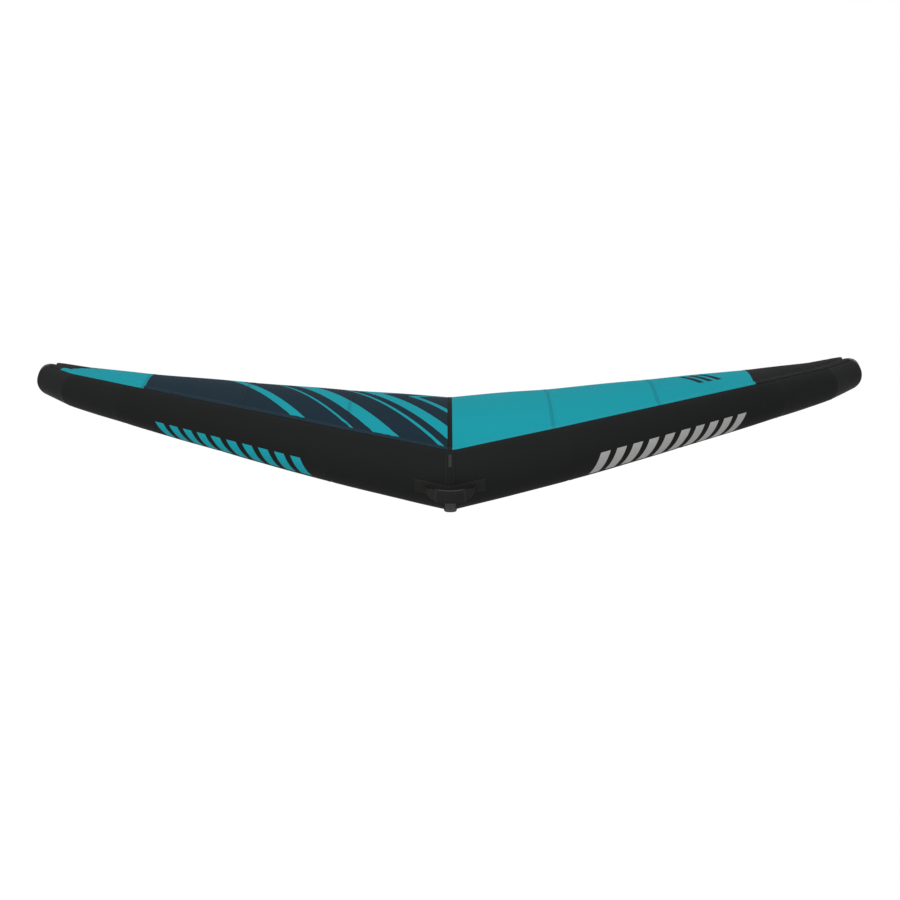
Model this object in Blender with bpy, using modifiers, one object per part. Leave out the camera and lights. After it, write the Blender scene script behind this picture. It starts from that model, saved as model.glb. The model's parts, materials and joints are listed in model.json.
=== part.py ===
"""A wingfoil wing in its flying attitude, built as an assembly of separate pieces.

An inflated leading edge of sewn sleeve panels carries a cambered canopy, and a centre
strut below the canopy carries the handles. Lengths are in metres. X runs across the
wing, Y from the nose to the trailing edge and Z up. Every piece is drawn in the wing's
own frame, whose origin is the centre of the tube at the nose, and hangs on one empty
that puts the world's origin at the rider's front grip.
"""

import math

import bmesh
import bpy
from mathutils import Matrix, Vector

# Leading edge
TUBE_HALF_SPAN = 1.518
TUBE_SWEEP = 1.20
TUBE_RISE = 0.330
TUBE_RADIUS = 0.105
SLEEVE_WALL = 0.0008
PANEL_ROOM = 0.0004
BLADDER_WALL = 0.0003
BLADDER_ROOM = 0.0006
SEAM_ANGLE = math.radians(26)
TUBE_SIDES = 28
BLADDER_SIDES = 14
# Across, back, up and radius at each sewn seam, as shares of the four sizes above
TUBE_STATION_SHARES = (
    (0.0, 0.0, 0.0, 1.0),
    (0.2566, 0.075, 0.252, 0.943),
    (0.5183, 0.225, 0.518, 0.819),
    (0.758, 0.433, 0.749, 0.688),
    (0.9022, 0.633, 0.877, 0.602),
    (0.9776, 0.817, 0.966, 0.545),
    (1.0, 1.0, 1.0, 0.410),
)
# First and last station of each sleeve panel, from the centre to the tip
SLEEVE_PANELS = ((0, 1), (1, 2), (2, 3), (3, 4), (4, 6))
TIP_DOME_ANGLES = tuple(math.radians(turn) for turn in (30, 58, 78))

# Canopy
CHORD = 2.10
EDGE_TAPER = 0.74
EDGE_TAPER_POWER = 1.08
EDGE_HEIGHT = 0.080
EDGE_RISE = 0.245
EDGE_RISE_POWER = 1.6
CAMBER = 0.162
CAMBER_LOSS_SHARE = 0.9
CAMBER_LOSS_POWER = 1.1
CREST_SHARE = 0.28
CANOPY_OVERHANG = 0.005
CANOPY_HALF_SPAN = TUBE_HALF_SPAN + CANOPY_OVERHANG
CANOPY_WALL = 0.0006
# Where the chordwise seams lie and the last panel ends, as shares of the half span
CANOPY_SEAM_SHARES = (0.0, 0.2366, 0.484, 0.736, 0.980)
CANOPY_COLUMN = 0.125
SEAM_SLANT = 0.08
CANOPY_ROWS = 14
ROW_POWER = 1.25
HEM_WIDTH = 0.022
HEM_THICK = 0.0024

# Battens
BATTEN_PLACE_SHARES = (0.28, 0.60)
BATTEN_ROWS = 2
BATTEN_WIDTH = 0.014
BATTEN_THICK = 0.0013
POCKET_WIDTH = 0.030
POCKET_THICK = 0.0036
POCKET_ROOM = 0.0009
POCKET_LIFT = 0.0007
POCKET_END = 0.008

# Centre strut
STRUT_FRONT = 0.02
STRUT_BACK = 2.03
STRUT_FRONT_HEIGHT = 0.0
STRUT_BACK_HEIGHT = 0.042
STRUT_RADIUS = 0.076
# Place along the strut and radius, as shares of its length and radius
STRUT_SHARES = ((0.0, 0.92), (0.12, 0.97), (0.28, 1.0), (0.46, 0.95), (0.64, 0.84), (0.82, 0.70), (1.0, 0.54))
STRUT_SIDES = 24
STRUT_BLADDER_SIDES = 12
TAIL_CAP_LENGTH = 0.085
TAIL_CAP_WALL = 0.0012
WEB_THICK = 0.0012
WEB_ROOM = 0.0005
WEB_SEAM_TURN = math.radians(4)
WEB_FRONT_STEPS = 5
HALVINGS = 14
STRUT_BLADDER_FRONT = 0.128

# Handles
GRIP_WIDTH = 0.048
GRIP_THICK = 0.026
GRIP_CORNER = 0.011
STRAP_WIDTH = 0.036
STRAP_THICK = 0.003
STRAP_NECK = 0.016
NECK_ANGLES = tuple(math.radians(turn) for turn in (80, 55, 28))
STRAP_CORNER = 0.022
FOOT_STANDOFF = 0.011
FOOT_STRIP_THICK = 0.002
FOOT_SINK = 0.0014
FOOT_ROOM = 0.0005
FOOT_STRIP_OVERHANG = 0.030
FOOT_STRIP_ANGLE = math.radians(19)
STRUT_HANDLE_LENGTH = 0.27
STRUT_HANDLE_DROP = 0.056
FRONT_HANDLE_BACK = 0.56
REAR_HANDLE_BACK = 1.16
NOSE_HANDLE_LENGTH = 0.165
NOSE_HANDLE_DROP = 0.070
# The nose handle is a bow of straight steps: its strap widens over some, and its grip leaves others free
BOW_STEPS = 13
BOW_WIDENING_STEPS = 2
BOW_GRIP_STEPS = 3
BOW_GRIP_THICK = 0.018
BOW_GRIP_CORNER = 0.0078
NOSE_HANDLE_ANGLE = math.radians(-110)
NOSE_STRIP_ANGLE = math.radians(13)
NOSE_STRIP_END = 0.112

# Centre seam tape and webbing tab
SEAM_TAPE_WIDTH = 0.034
SEAM_TAPE_THICK = 0.0006
SEAM_TAPE_TURN = math.radians(8)
TAB_WIDTH = 0.011
TAB_THICK = 0.0016
TAB_TOP_ANGLE = math.radians(-35)
TAB_LOW_ANGLE = math.radians(-63)

# Harness loops and leash tab
LOOP_WIDTH = 0.025
LOOP_LENGTH = 0.060
LOOP_CROWN = 0.026
LOOP_HEIGHT = 0.0105
WEBBING_THICK = 0.0018
FRONT_LOOP_BACK = 0.335
REAR_LOOP_BACK = 1.42
LEASH_BACK = 0.215
LEASH_TAB_LENGTH = 0.018
LEASH_TAB_HEIGHT = 0.022
LEASH_TAB_WIDTH = 0.011
LEASH_RING_RADIUS = 0.015
LEASH_WIRE_RADIUS = 0.002
LEASH_EYE_RADIUS = 0.0042
LEASH_EYE_FLOOR = 0.0025

# Inflation valve
VALVE_ACROSS = 0.20
VALVE_BORE_RADIUS = 0.011
VALVE_STEM_RADIUS = 0.0150
VALVE_RIM_RADIUS = 0.0180
VALVE_RIM_HEIGHT = 0.004
VALVE_FLANGE_RADIUS = 0.0225
VALVE_FLANGE_THICK = 0.0015
VALVE_STANDOFF = 0.016
VALVE_DEPTH = 0.017
CAP_THICK = 0.005
CAP_BEVEL = 0.0012
HINGE_RADIUS = 0.0022
HINGE_LENGTH = 0.009
HINGE_REACH = 0.0035
FLAP_RADIUS = 0.0125
FLAP_THICK = 0.0010

# Hose between the leading edge and the strut
HOSE_ACROSS = 0.16
HOSE_BACK = 0.31
HOSE_RADIUS = 0.008
HOSE_LEAD_OUT = 0.095
HOSE_LEAD_IN = 0.075
HOSE_STEPS = 20
FITTING_COLLAR_RADIUS = 0.0105
FITTING_COLLAR_HEIGHT = 0.011
FITTING_FLANGE_RADIUS = 0.0165
FITTING_FLANGE_THICK = 0.0015
FITTING_BORE_RADIUS = 0.0055
FITTING_DEPTH = 0.013

# Pinch clip on the hose
CLIP_WIDTH = 0.029
CLIP_HEIGHT = 0.025
CLIP_CORNER = 0.005
CLIP_LENGTH = 0.012
CLIP_FROM_FITTING = 0.024
CLIP_PIN_RADIUS = 0.0016
CLIP_EYE_RADIUS = 0.0036
CLIP_EAR_WALL = 0.0022
LEVER_LENGTH = 0.026
LEVER_THICK = 0.0034
LEVER_CREST = 0.0044

# Bladder zip
ZIP_START_SHARE = 0.14
ZIP_END_SHARE = 0.88
ZIP_ANGLE = math.radians(97)
ZIP_HALF_ANGLE = math.radians(9)
ZIP_THICK = 0.0012
SLIDER_LENGTH = 0.014
SLIDER_WIDTH = 0.011
SLIDER_HEIGHT = 0.005
SLIDER_BEVEL = 0.0012
SLIDER_INSET_SHARE = 0.06
PULL_LENGTH = 0.026
PULL_WIDTH = 0.006
PULL_THICK = 0.0016

# Clearances
GAP = 0.0003
CUT_OVERRUN = 0.01
MERGE = 0.0001
WELD = 0.00001
SHARP_ANGLE = math.radians(35)
ROUND_STEPS = 26

MIRROR_ACROSS = Matrix.Scale(-1, 4, Vector((1, 0, 0)))


# The scene and its collections

def clear_scene():
    for obj in list(bpy.data.objects):
        bpy.data.objects.remove(obj, do_unlink=True)


def new_collection(name):
    made = bpy.data.collections.new(name)
    bpy.context.scene.collection.children.link(made)
    return made


clear_scene()
PARTS = new_collection("wingfoil_wing")
CUTTERS = new_collection("cutters")


def new_material(name, colour, roughness, metallic=0.0):
    made = bpy.data.materials.new(name)
    made.use_nodes = True
    shader = made.node_tree.nodes["Principled BSDF"]
    shader.inputs["Base Color"].default_value = (*colour, 1)
    shader.inputs["Roughness"].default_value = roughness
    shader.inputs["Metallic"].default_value = metallic
    return made


TEAL_CLOTH = new_material("teal canopy cloth", (0.012, 0.32, 0.39), 0.55)
NAVY_CLOTH = new_material("navy canopy cloth", (0.018, 0.034, 0.048), 0.55)
BLACK_CLOTH = new_material("black canopy cloth", (0.016, 0.017, 0.017), 0.60)
SLEEVE_CLOTH = new_material("black sleeve cloth", (0.015, 0.016, 0.016), 0.65)
BLADDER_FILM = new_material("bladder film", (0.55, 0.60, 0.62), 0.35)
WEBBING = new_material("webbing", (0.030, 0.030, 0.029), 0.80)
GRIP_FOAM = new_material("grip cover", (0.055, 0.055, 0.056), 0.75)
MOULDING = new_material("moulded plastic", (0.020, 0.020, 0.021), 0.45)
BATTEN_FIBRE = new_material("batten fibre", (0.35, 0.36, 0.30), 0.40)
STEEL = new_material("polished steel", (0.62, 0.62, 0.62), 0.22, 1.0)


# The wing's own frame

class Station:
    """One sewn ring of the leading edge, in the plane that halves the bend there."""

    def __init__(self, centre, before, after, radius):
        self.centre = centre
        self.radius = radius
        self.tangent = (before + after).normalized()
        bend = after - before
        self.bend = bend.normalized() if bend.length > MERGE else Vector((1, 0, 0))
        self.stretch = 1 / math.cos(before.angle(after) / 2)
        upright = Vector((0, 0, 1))
        self.up = (upright - upright.dot(self.tangent) * self.tangent).normalized()
        self.back = self.up.cross(self.tangent)

    def matrix(self, shrink=0.0, along=Vector((0, 0, 0))):
        """Carries a unit circle to the ring, drawn in by shrink and moved along the tube."""
        radius = self.radius - shrink
        basis = Matrix((self.up, self.back, self.tangent)).transposed().to_4x4()
        size = Matrix.Diagonal((radius, radius, radius, 1))
        stretched = Matrix.Scale(self.stretch, 4, self.bend)
        return Matrix.Translation(self.centre + along) @ stretched @ basis @ size

    def point(self, angle, lift=0.0):
        """A point of the ring, at an angle from its top towards the trailing edge."""
        return self.matrix(-lift) @ Vector((math.cos(angle), math.sin(angle), 0))


def make_stations():
    sizes = (TUBE_HALF_SPAN, TUBE_SWEEP, TUBE_RISE, TUBE_RADIUS)
    rows = [[size * share for size, share in zip(sizes, shares)] for shares in TUBE_STATION_SHARES]
    centres = [Vector(row[:3]) for row in rows]
    runs = [(b - a).normalized() for a, b in zip(centres, centres[1:])]
    mirrored = Vector((runs[0].x, -runs[0].y, -runs[0].z))
    before = [mirrored] + runs
    after = runs + [runs[-1]]
    return [Station(c, b, a, row[3]) for c, b, a, row in zip(centres, before, after, rows)]


STATIONS = make_stations()


def mix(first, second, share):
    return first + (second - first) * share


def tube_point(across, angle, lift=0.0):
    """A point on the leading edge beside the tube centre that lies this far across."""
    for near, far in zip(STATIONS, STATIONS[1:]):
        if across <= far.centre.x or far is STATIONS[-1]:
            share = (across - near.centre.x) / (far.centre.x - near.centre.x)
            return mix(near.point(angle, lift), far.point(angle, lift), share)


def nose_point(across, angle, lift):
    """A point on the first panels at a true distance from the middle."""
    near, far = (station.point(angle, lift) for station in STATIONS[:2])
    return mix(near, far, (across - near.x) / (far.x - near.x))


def seam_point(across):
    """The line on the leading edge where the canopy is sewn on."""
    points = [station.point(SEAM_ANGLE, GAP) for station in STATIONS]
    for near, far in zip(points, points[1:]):
        if across <= far.x or far is points[-1]:
            return mix(near, far, (across - near.x) / (far.x - near.x))


def edge_point(across):
    """The trailing edge."""
    share = across / CANOPY_HALF_SPAN
    back = CHORD - EDGE_TAPER * share ** EDGE_TAPER_POWER
    up = EDGE_HEIGHT + EDGE_RISE * share ** EDGE_RISE_POWER
    return Vector((across, back, up))


def camber_share(chord_share):
    """A wing section's mean line: 0 at both ends and 1 at its crest."""
    if chord_share < CREST_SHARE:
        return chord_share * (2 * CREST_SHARE - chord_share) / CREST_SHARE ** 2
    rear = 1 - 2 * CREST_SHARE + chord_share * (2 * CREST_SHARE - chord_share)
    return rear / (1 - CREST_SHARE) ** 2


def canopy_point(across, chord_share, lift=0.0):
    """The canopy's underside, from its seam on the leading edge to the trailing edge.

    The lines of one place across lean towards the middle as they run back.
    """
    span_share = across / CANOPY_HALF_SPAN
    height = CAMBER * (1 - CAMBER_LOSS_SHARE * span_share ** CAMBER_LOSS_POWER)
    rear = across - SEAM_SLANT * math.sin(math.pi * span_share)
    point = mix(seam_point(across), edge_point(rear), chord_share)
    return point + Vector((0, 0, height * camber_share(chord_share) + lift))


def hem_share(across):
    """The share of the chord at which the cloth ends and the hem begins."""
    chord = edge_point(across).y - seam_point(across).y
    return 1 - HEM_WIDTH / chord


def strut_axis(back):
    share = (back - STRUT_FRONT) / (STRUT_BACK - STRUT_FRONT)
    return Vector((0, back, mix(STRUT_FRONT_HEIGHT, STRUT_BACK_HEIGHT, share)))


def strut_radius(back):
    share = (back - STRUT_FRONT) / (STRUT_BACK - STRUT_FRONT)
    for (place, radius), (next_place, next_radius) in zip(STRUT_SHARES, STRUT_SHARES[1:]):
        if share <= next_place or next_place == 1.0:
            along = (share - place) / (next_place - place)
            return STRUT_RADIUS * mix(radius, next_radius, along)


def strut_point(back, angle, lift=0.0):
    """A point on the strut, at an angle from its lowest line."""
    radius = strut_radius(back) + lift
    return strut_axis(back) + Vector((radius * math.sin(angle), 0, -radius * math.cos(angle)))


def strut_slope(back, reach):
    """The angle at which the strut's lowest line climbs between two places beside this one."""
    run = strut_point(back + reach, 0) - strut_point(back - reach, 0)
    return math.atan2(run.z, run.y)


GRIP_ORIGIN = strut_point(FRONT_HANDLE_BACK, 0)


def new_frame():
    frame = bpy.data.objects.new("wing_frame", None)
    PARTS.objects.link(frame)
    frame.location = -GRIP_ORIGIN
    return frame


WING_FRAME = new_frame()


# Making objects

def add_object(name, data, material, place=None, parent=None):
    obj = bpy.data.objects.new(name, data)
    PARTS.objects.link(obj)
    obj.parent = parent or WING_FRAME
    if place is not None:
        obj.location, obj.rotation_euler = place.to_translation(), place.to_euler()
    if material:
        data.materials.append(material)
    return obj


def add_mesh(name, bm, material, place=None, parent=None):
    mesh = bpy.data.meshes.new(name)
    bmesh.ops.recalc_face_normals(bm, faces=bm.faces)
    bm.to_mesh(mesh)
    bm.free()
    mesh.shade_smooth()
    mesh.set_sharp_from_angle(angle=SHARP_ANGLE)
    return add_object(name, mesh, material, place, parent)


def as_cutter(obj):
    PARTS.objects.unlink(obj)
    CUTTERS.objects.link(obj)
    obj.hide_render = True
    obj.display_type = "WIRE"
    return obj


def thicken(obj, wall, offset):
    """Gives an open surface its wall: offset -1 grows inward, 1 outward and 0 both ways."""
    made = obj.modifiers.new("wall", "SOLIDIFY")
    made.thickness = wall
    made.offset = offset
    made.use_even_offset = True


def mirror_half(obj):
    made = obj.modifiers.new("other half", "MIRROR")
    made.use_clip = True
    made.merge_threshold = MERGE


def boolean(obj, other, operation):
    made = obj.modifiers.new(operation.lower(), "BOOLEAN")
    made.operation = operation
    made.object = other


def cut(obj, cutter):
    boolean(obj, cutter, "DIFFERENCE")


def join(obj, other):
    boolean(obj, as_cutter(other), "UNION")


def turn_over(bm):
    """Mirrors a right-hand mesh to the left."""
    bmesh.ops.transform(bm, matrix=MIRROR_ACROSS, verts=bm.verts)


def loft(matrices, sides, close_start=False, close_end=False):
    """Unit circles carried by matrices and bridged one to the next."""
    bm = bmesh.new()
    loops = []
    for matrix in matrices:
        verts = bmesh.ops.create_circle(bm, segments=sides, radius=1, matrix=matrix)["verts"]
        loops.append(list({edge for vert in verts for edge in vert.link_edges}))
    for near, far in zip(loops, loops[1:]):
        bmesh.ops.bridge_loops(bm, edges=near + far)
    for wanted, loop in ((close_start, loops[0]), (close_end, loops[-1])):
        if wanted:
            bmesh.ops.edgeloop_fill(bm, edges=loop)
    return bm


def patch(columns, rows, point_at):
    """A grid laid on a surface: point_at gives a point from two shares."""
    bm = bmesh.new()
    bmesh.ops.create_grid(bm, x_segments=columns, y_segments=rows, size=1)
    for vert in bm.verts:
        vert.co = point_at((vert.co.x + 1) / 2, (vert.co.y + 1) / 2)
    return bm


def block(size, centre):
    bm = bmesh.new()
    bmesh.ops.create_cube(bm, size=1, matrix=Matrix.LocRotScale(centre, None, size))
    return bm


def rod(radius, length, matrix, sides=ROUND_STEPS):
    bm = bmesh.new()
    bmesh.ops.create_cone(
        bm, cap_ends=True, segments=sides, radius1=radius, radius2=radius, depth=length, matrix=matrix
    )
    return bm


def turned(name, profile, material, place, parent=None):
    """A closed outline of (radius, height) corners, turned about Z."""
    bm = bmesh.new()
    verts = [bm.verts.new((radius, 0, height)) for radius, height in profile]
    for near, far in zip(verts, verts[1:] + verts[:1]):
        bm.edges.new((near, far))
    obj = add_mesh(name, bm, material, place, parent)
    screw = obj.modifiers.new("turn", "SCREW")
    screw.steps = screw.render_steps = ROUND_STEPS
    screw.use_merge_vertices = True
    screw.merge_threshold = MERGE
    return obj


def flat_outline(name, outlines, thick, material, place, parent=None):
    """Closed outlines filled and given a thickness: the first is the edge, the rest are holes."""
    curve = bpy.data.curves.new(name, "CURVE")
    curve.dimensions = "2D"
    curve.fill_mode = "BOTH"
    curve.extrude = thick / 2
    for outline in outlines:
        spline = curve.splines.new("POLY")
        spline.points.add(len(outline) - 1)
        for point, (x, y) in zip(spline.points, outline):
            point.co = (x, y, 0, 1)
        spline.use_cyclic_u = True
    return add_object(name, curve, material, place, parent)


def as_mesh(obj):
    """A curve object turned into a mesh object, so that it can be cut or joined."""
    bpy.context.view_layer.update()
    graph = bpy.context.evaluated_depsgraph_get()
    mesh = bpy.data.meshes.new_from_object(obj.evaluated_get(graph))
    bm = bmesh.new()
    bm.from_mesh(mesh)
    bmesh.ops.remove_doubles(bm, verts=bm.verts, dist=WELD)
    bm.to_mesh(mesh)
    bm.free()
    name, place, parent = obj.name, obj.matrix_basis.copy(), obj.parent
    bpy.data.objects.remove(obj)
    return add_object(name, mesh, None, place, parent)


def arc(centre, radius, start, end, steps):
    turns = [start + (end - start) * step / steps for step in range(steps + 1)]
    return [(centre[0] + radius * math.cos(turn), centre[1] + radius * math.sin(turn)) for turn in turns]


def rounded_rectangle(width, height, corner, steps=4):
    quarter = math.pi / 2
    points = []
    for turn, (right, top) in enumerate(((1, 1), (-1, 1), (-1, -1), (1, -1))):
        centre = (right * (width / 2 - corner), top * (height / 2 - corner))
        points += arc(centre, corner, turn * quarter, (turn + 1) * quarter, steps)
    return points


def circle(radius, centre=(0, 0), steps=ROUND_STEPS):
    return arc(centre, radius, 0, 2 * math.pi, steps)[:-1]


def place_at(location, about=None, angle=0.0):
    turned_by = Matrix.Rotation(angle, 4, about) if about else Matrix.Identity(4)
    return Matrix.Translation(location) @ turned_by


# Leading edge: sleeve panels, bladder and seam tape

def tip_dome(shrink):
    """Rings that round off the tip beyond the last station."""
    tip = STATIONS[-1]
    radius = tip.radius - shrink
    rings = []
    for angle in TIP_DOME_ANGLES:
        along = tip.tangent * radius * math.sin(angle)
        rings.append(tip.matrix(tip.radius - radius * math.cos(angle), along))
    return rings


def sleeve_panel(number, side):
    first, last = SLEEVE_PANELS[number]
    stations = STATIONS[first : last + 1]
    start_run = (stations[1].centre - stations[0].centre).normalized()
    matrices = [station.matrix() for station in stations]
    matrices[0] = stations[0].matrix(along=start_run * PANEL_ROOM)
    is_tip = last == len(STATIONS) - 1
    if is_tip:
        matrices += tip_dome(0)
    else:
        end_run = (stations[-1].centre - stations[-2].centre).normalized()
        matrices[-1] = stations[-1].matrix(along=end_run * -PANEL_ROOM)
    bm = loft(matrices, TUBE_SIDES, close_end=is_tip)
    if side == "left":
        turn_over(bm)
    kind = "tip" if is_tip else f"panel_{number + 1}"
    obj = add_mesh(f"leading_edge_{kind}_{side}", bm, SLEEVE_CLOTH)
    thicken(obj, SLEEVE_WALL, -1)
    return obj


def leading_edge_bladder():
    shrink = SLEEVE_WALL + BLADDER_ROOM
    matrices = [station.matrix(shrink) for station in STATIONS] + tip_dome(shrink)
    bm = loft(matrices, BLADDER_SIDES, close_end=True)
    # Flat triangles keep the two faces of so thin a film apart around the holes cut in it
    bmesh.ops.triangulate(bm, faces=bm.faces)
    obj = add_mesh("leading_edge_bladder", bm, BLADDER_FILM)
    mirror_half(obj)
    thicken(obj, BLADDER_WALL, -1)
    return obj


def leading_edge_core():
    """What the leading edge takes out of the strut that is sewn to it."""
    matrices = [station.matrix(-GAP) for station in STATIONS[:2]]
    obj = add_mesh("leading_edge_core", loft(matrices, TUBE_SIDES, close_end=True), None)
    mirror_half(obj)
    return as_cutter(obj)


def seam_tape():
    """A band around the sewn V at the nose."""
    near, far = (station.matrix(-GAP) for station in STATIONS[:2])
    bm = loft([near, mix(near, far, SEAM_TAPE_WIDTH / 2 / STATIONS[1].centre.x)], TUBE_SIDES)
    start = SEAM_ANGLE - SEAM_TAPE_TURN
    bmesh.ops.delete(bm, geom=[face for face in bm.faces if not in_front(face, start)], context="FACES")
    obj = add_mesh("nose_seam_tape", bm, BLACK_CLOTH)
    mirror_half(obj)
    thicken(obj, SEAM_TAPE_THICK, 1)


def in_front(face, start):
    """True on the front of the tube, from the lowest line up to just before the canopy."""
    centre = face.calc_center_median()
    angle = math.atan2(centre.y, centre.z)
    return -math.pi < angle < start


def webbing_tab():
    """A short webbing tab sewn over the seam tape above the nose."""
    lift = GAP + SEAM_TAPE_THICK + GAP

    def point_at(along, up):
        across = TAB_WIDTH / 2 * along
        return tube_point(across, mix(TAB_LOW_ANGLE, TAB_TOP_ANGLE, up), lift)

    obj = add_mesh("nose_webbing_tab", patch(1, 6, point_at), WEBBING)
    mirror_half(obj)
    thicken(obj, TAB_THICK, 1)


# Centre strut

def strut_matrix(back, radius):
    """Carries a unit circle to an upright ring of the strut."""
    basis = Matrix(((1, 0, 0), (0, 0, 1), (0, 1, 0))).to_4x4()
    size = Matrix.Diagonal((radius, radius, radius, 1))
    return Matrix.Translation(strut_axis(back)) @ basis @ size


def strut_rings(front, shrink):
    """Rings from a place behind the nose to the strut's rounded tail."""
    length = STRUT_BACK - STRUT_FRONT
    places = [STRUT_FRONT + length * share for share, _ in STRUT_SHARES]
    rings = [strut_matrix(back, strut_radius(back) - shrink) for back in [front] + [p for p in places if p > front]]
    radius = strut_radius(STRUT_BACK) - shrink
    for angle in TIP_DOME_ANGLES:
        rings.append(strut_matrix(STRUT_BACK + radius * math.sin(angle), radius * math.cos(angle)))
    return rings


def strut_sleeve(core, hose_hole):
    obj = add_mesh("strut_sleeve", loft(strut_rings(STRUT_FRONT, 0), STRUT_SIDES, close_end=True), SLEEVE_CLOTH)
    thicken(obj, SLEEVE_WALL, -1)
    cut(obj, core)
    cut(obj, hose_hole)


def strut_bladder(hose_hole):
    shrink = SLEEVE_WALL + BLADDER_ROOM
    rings = strut_rings(STRUT_BLADDER_FRONT, shrink)
    bm = loft(rings, STRUT_BLADDER_SIDES, close_start=True, close_end=True)
    obj = add_mesh("strut_bladder", bm, BLADDER_FILM)
    thicken(obj, BLADDER_WALL, -1)
    cut(obj, hose_hole)


def strut_tail_cap():
    front = STRUT_BACK - TAIL_CAP_LENGTH
    rings = strut_rings(front, -GAP)
    obj = add_mesh("strut_tail_cap", loft(rings, STRUT_SIDES, close_end=True), BLACK_CLOTH)
    thicken(obj, TAIL_CAP_WALL, 1)


def strut_top(back):
    return strut_axis(back).z + strut_radius(back)


def web_front_angles():
    """Angles on the nose ring from just behind the canopy's seam down to the strut's top."""
    first = SEAM_ANGLE + WEB_SEAM_TURN
    clear, inside = first, math.pi / 2
    for _ in range(HALVINGS):
        middle = (clear + inside) / 2
        point = STATIONS[0].point(middle, WEB_ROOM)
        if point.z > strut_top(point.y) + WEB_ROOM:
            clear = middle
        else:
            inside = middle
    return [mix(first, clear, step / WEB_FRONT_STEPS) for step in range(WEB_FRONT_STEPS + 1)]


def strut_web():
    """The upright cloth that joins the strut to the canopy's centre seam."""
    front = [STATIONS[0].point(angle, WEB_ROOM) for angle in web_front_angles()]
    last_back = STRUT_BACK - TAIL_CAP_LENGTH - GAP
    places = [mix(STRUT_FRONT, STRUT_BACK, share) for share, _ in STRUT_SHARES]
    backs = [back for back in places if front[-1].y < back < last_back] + [last_back]
    under = [(back, strut_top(back) + WEB_ROOM) for back in backs]
    rows = [canopy_point(0, row_share(row / CANOPY_ROWS) * hem_share(0)) for row in range(1, CANOPY_ROWS + 1)]
    kept = [row for row in rows if row.y < last_back]
    end = rows[len(kept)]
    corner = mix(kept[-1], end, (last_back - kept[-1].y) / (end.y - kept[-1].y))
    over = [(point.y, point.z - WEB_ROOM) for point in reversed(kept + [corner])]
    outline = [(point.y, point.z) for point in front] + under + over
    upright = Matrix.Rotation(math.pi / 2, 4, "Z") @ Matrix.Rotation(math.pi / 2, 4, "X")
    flat_outline("strut_web", [outline], WEB_THICK, BLACK_CLOTH, upright)


# Canopy, hems and battens

def row_share(share):
    """Rows lie closer together near the leading edge, where the cloth curves most."""
    return share ** ROW_POWER


def canopy_columns(low, high):
    """Places across from low to high, with one at each bend of the leading edge between them."""
    bends = [station.point(SEAM_ANGLE, GAP).x for station in STATIONS]
    ends = [low] + [bend for bend in bends if low + MERGE < bend < high - MERGE] + [high]
    columns = [low]
    for start, end in zip(ends, ends[1:]):
        steps = math.ceil((end - start) / CANOPY_COLUMN)
        columns += [mix(start, end, step / steps) for step in range(1, steps + 1)]
    return columns


def panel_columns(number):
    low, high = (CANOPY_HALF_SPAN * share for share in CANOPY_SEAM_SHARES[number : number + 2])
    return canopy_columns(low + GAP / 2, high - GAP / 2)


def canopy_panel(number, side):
    columns = panel_columns(number)

    def point_at(along, back):
        across = columns[round(along * (len(columns) - 1))]
        return canopy_point(across, row_share(back) * hem_share(across))

    bm = patch(len(columns) - 1, CANOPY_ROWS, point_at)
    if side == "left":
        turn_over(bm)
    is_tip = number == len(CANOPY_SEAM_SHARES) - 2
    if side == "right":
        material = BLACK_CLOTH if is_tip else TEAL_CLOTH
    else:
        material = TEAL_CLOTH if is_tip else NAVY_CLOTH
    kind = "tip" if is_tip else f"panel_{number + 1}"
    obj = add_mesh(f"canopy_{kind}_{side}", bm, material)
    thicken(obj, CANOPY_WALL, 1 if faces_up(obj) else -1)
    return obj


def faces_up(obj):
    """Whether the mesh's faces look up, which tells which way its wall grows."""
    return sum(polygon.normal.z * polygon.area for polygon in obj.data.polygons) > 0


def trailing_edge_hem(side):
    panels = range(len(CANOPY_SEAM_SHARES) - 1)
    columns = [panel_columns(0)[0]] + [across for number in panels for across in panel_columns(number)[1:]]

    def point_at(along, back):
        across = columns[round(along * (len(columns) - 1))]
        start = hem_share(across) + GAP / HEM_WIDTH * (1 - hem_share(across))
        return canopy_point(across, mix(start, 1, back), CANOPY_WALL / 2)

    bm = patch(len(columns) - 1, 1, point_at)
    if side == "left":
        turn_over(bm)
    thicken(add_mesh(f"trailing_edge_hem_{side}", bm, BLACK_CLOTH), HEM_THICK, 0)


def rear_strip(centre, width, lift, front_inset, rear_reach):
    """A narrow strip on the canopy's last rows, short of their front or past the hem by a length."""

    def point_at(along, back):
        across = centre + width * (along - 1 / 2)
        chord = edge_point(across).y - seam_point(across).y
        row = round(back * BATTEN_ROWS)
        share = row_share(1 - (BATTEN_ROWS - row) / CANOPY_ROWS) * hem_share(across)
        if row == 0:
            share += front_inset / chord
        if row == BATTEN_ROWS:
            share += rear_reach / chord
        return canopy_point(across, share, lift)

    return patch(1, BATTEN_ROWS, point_at)


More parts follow.
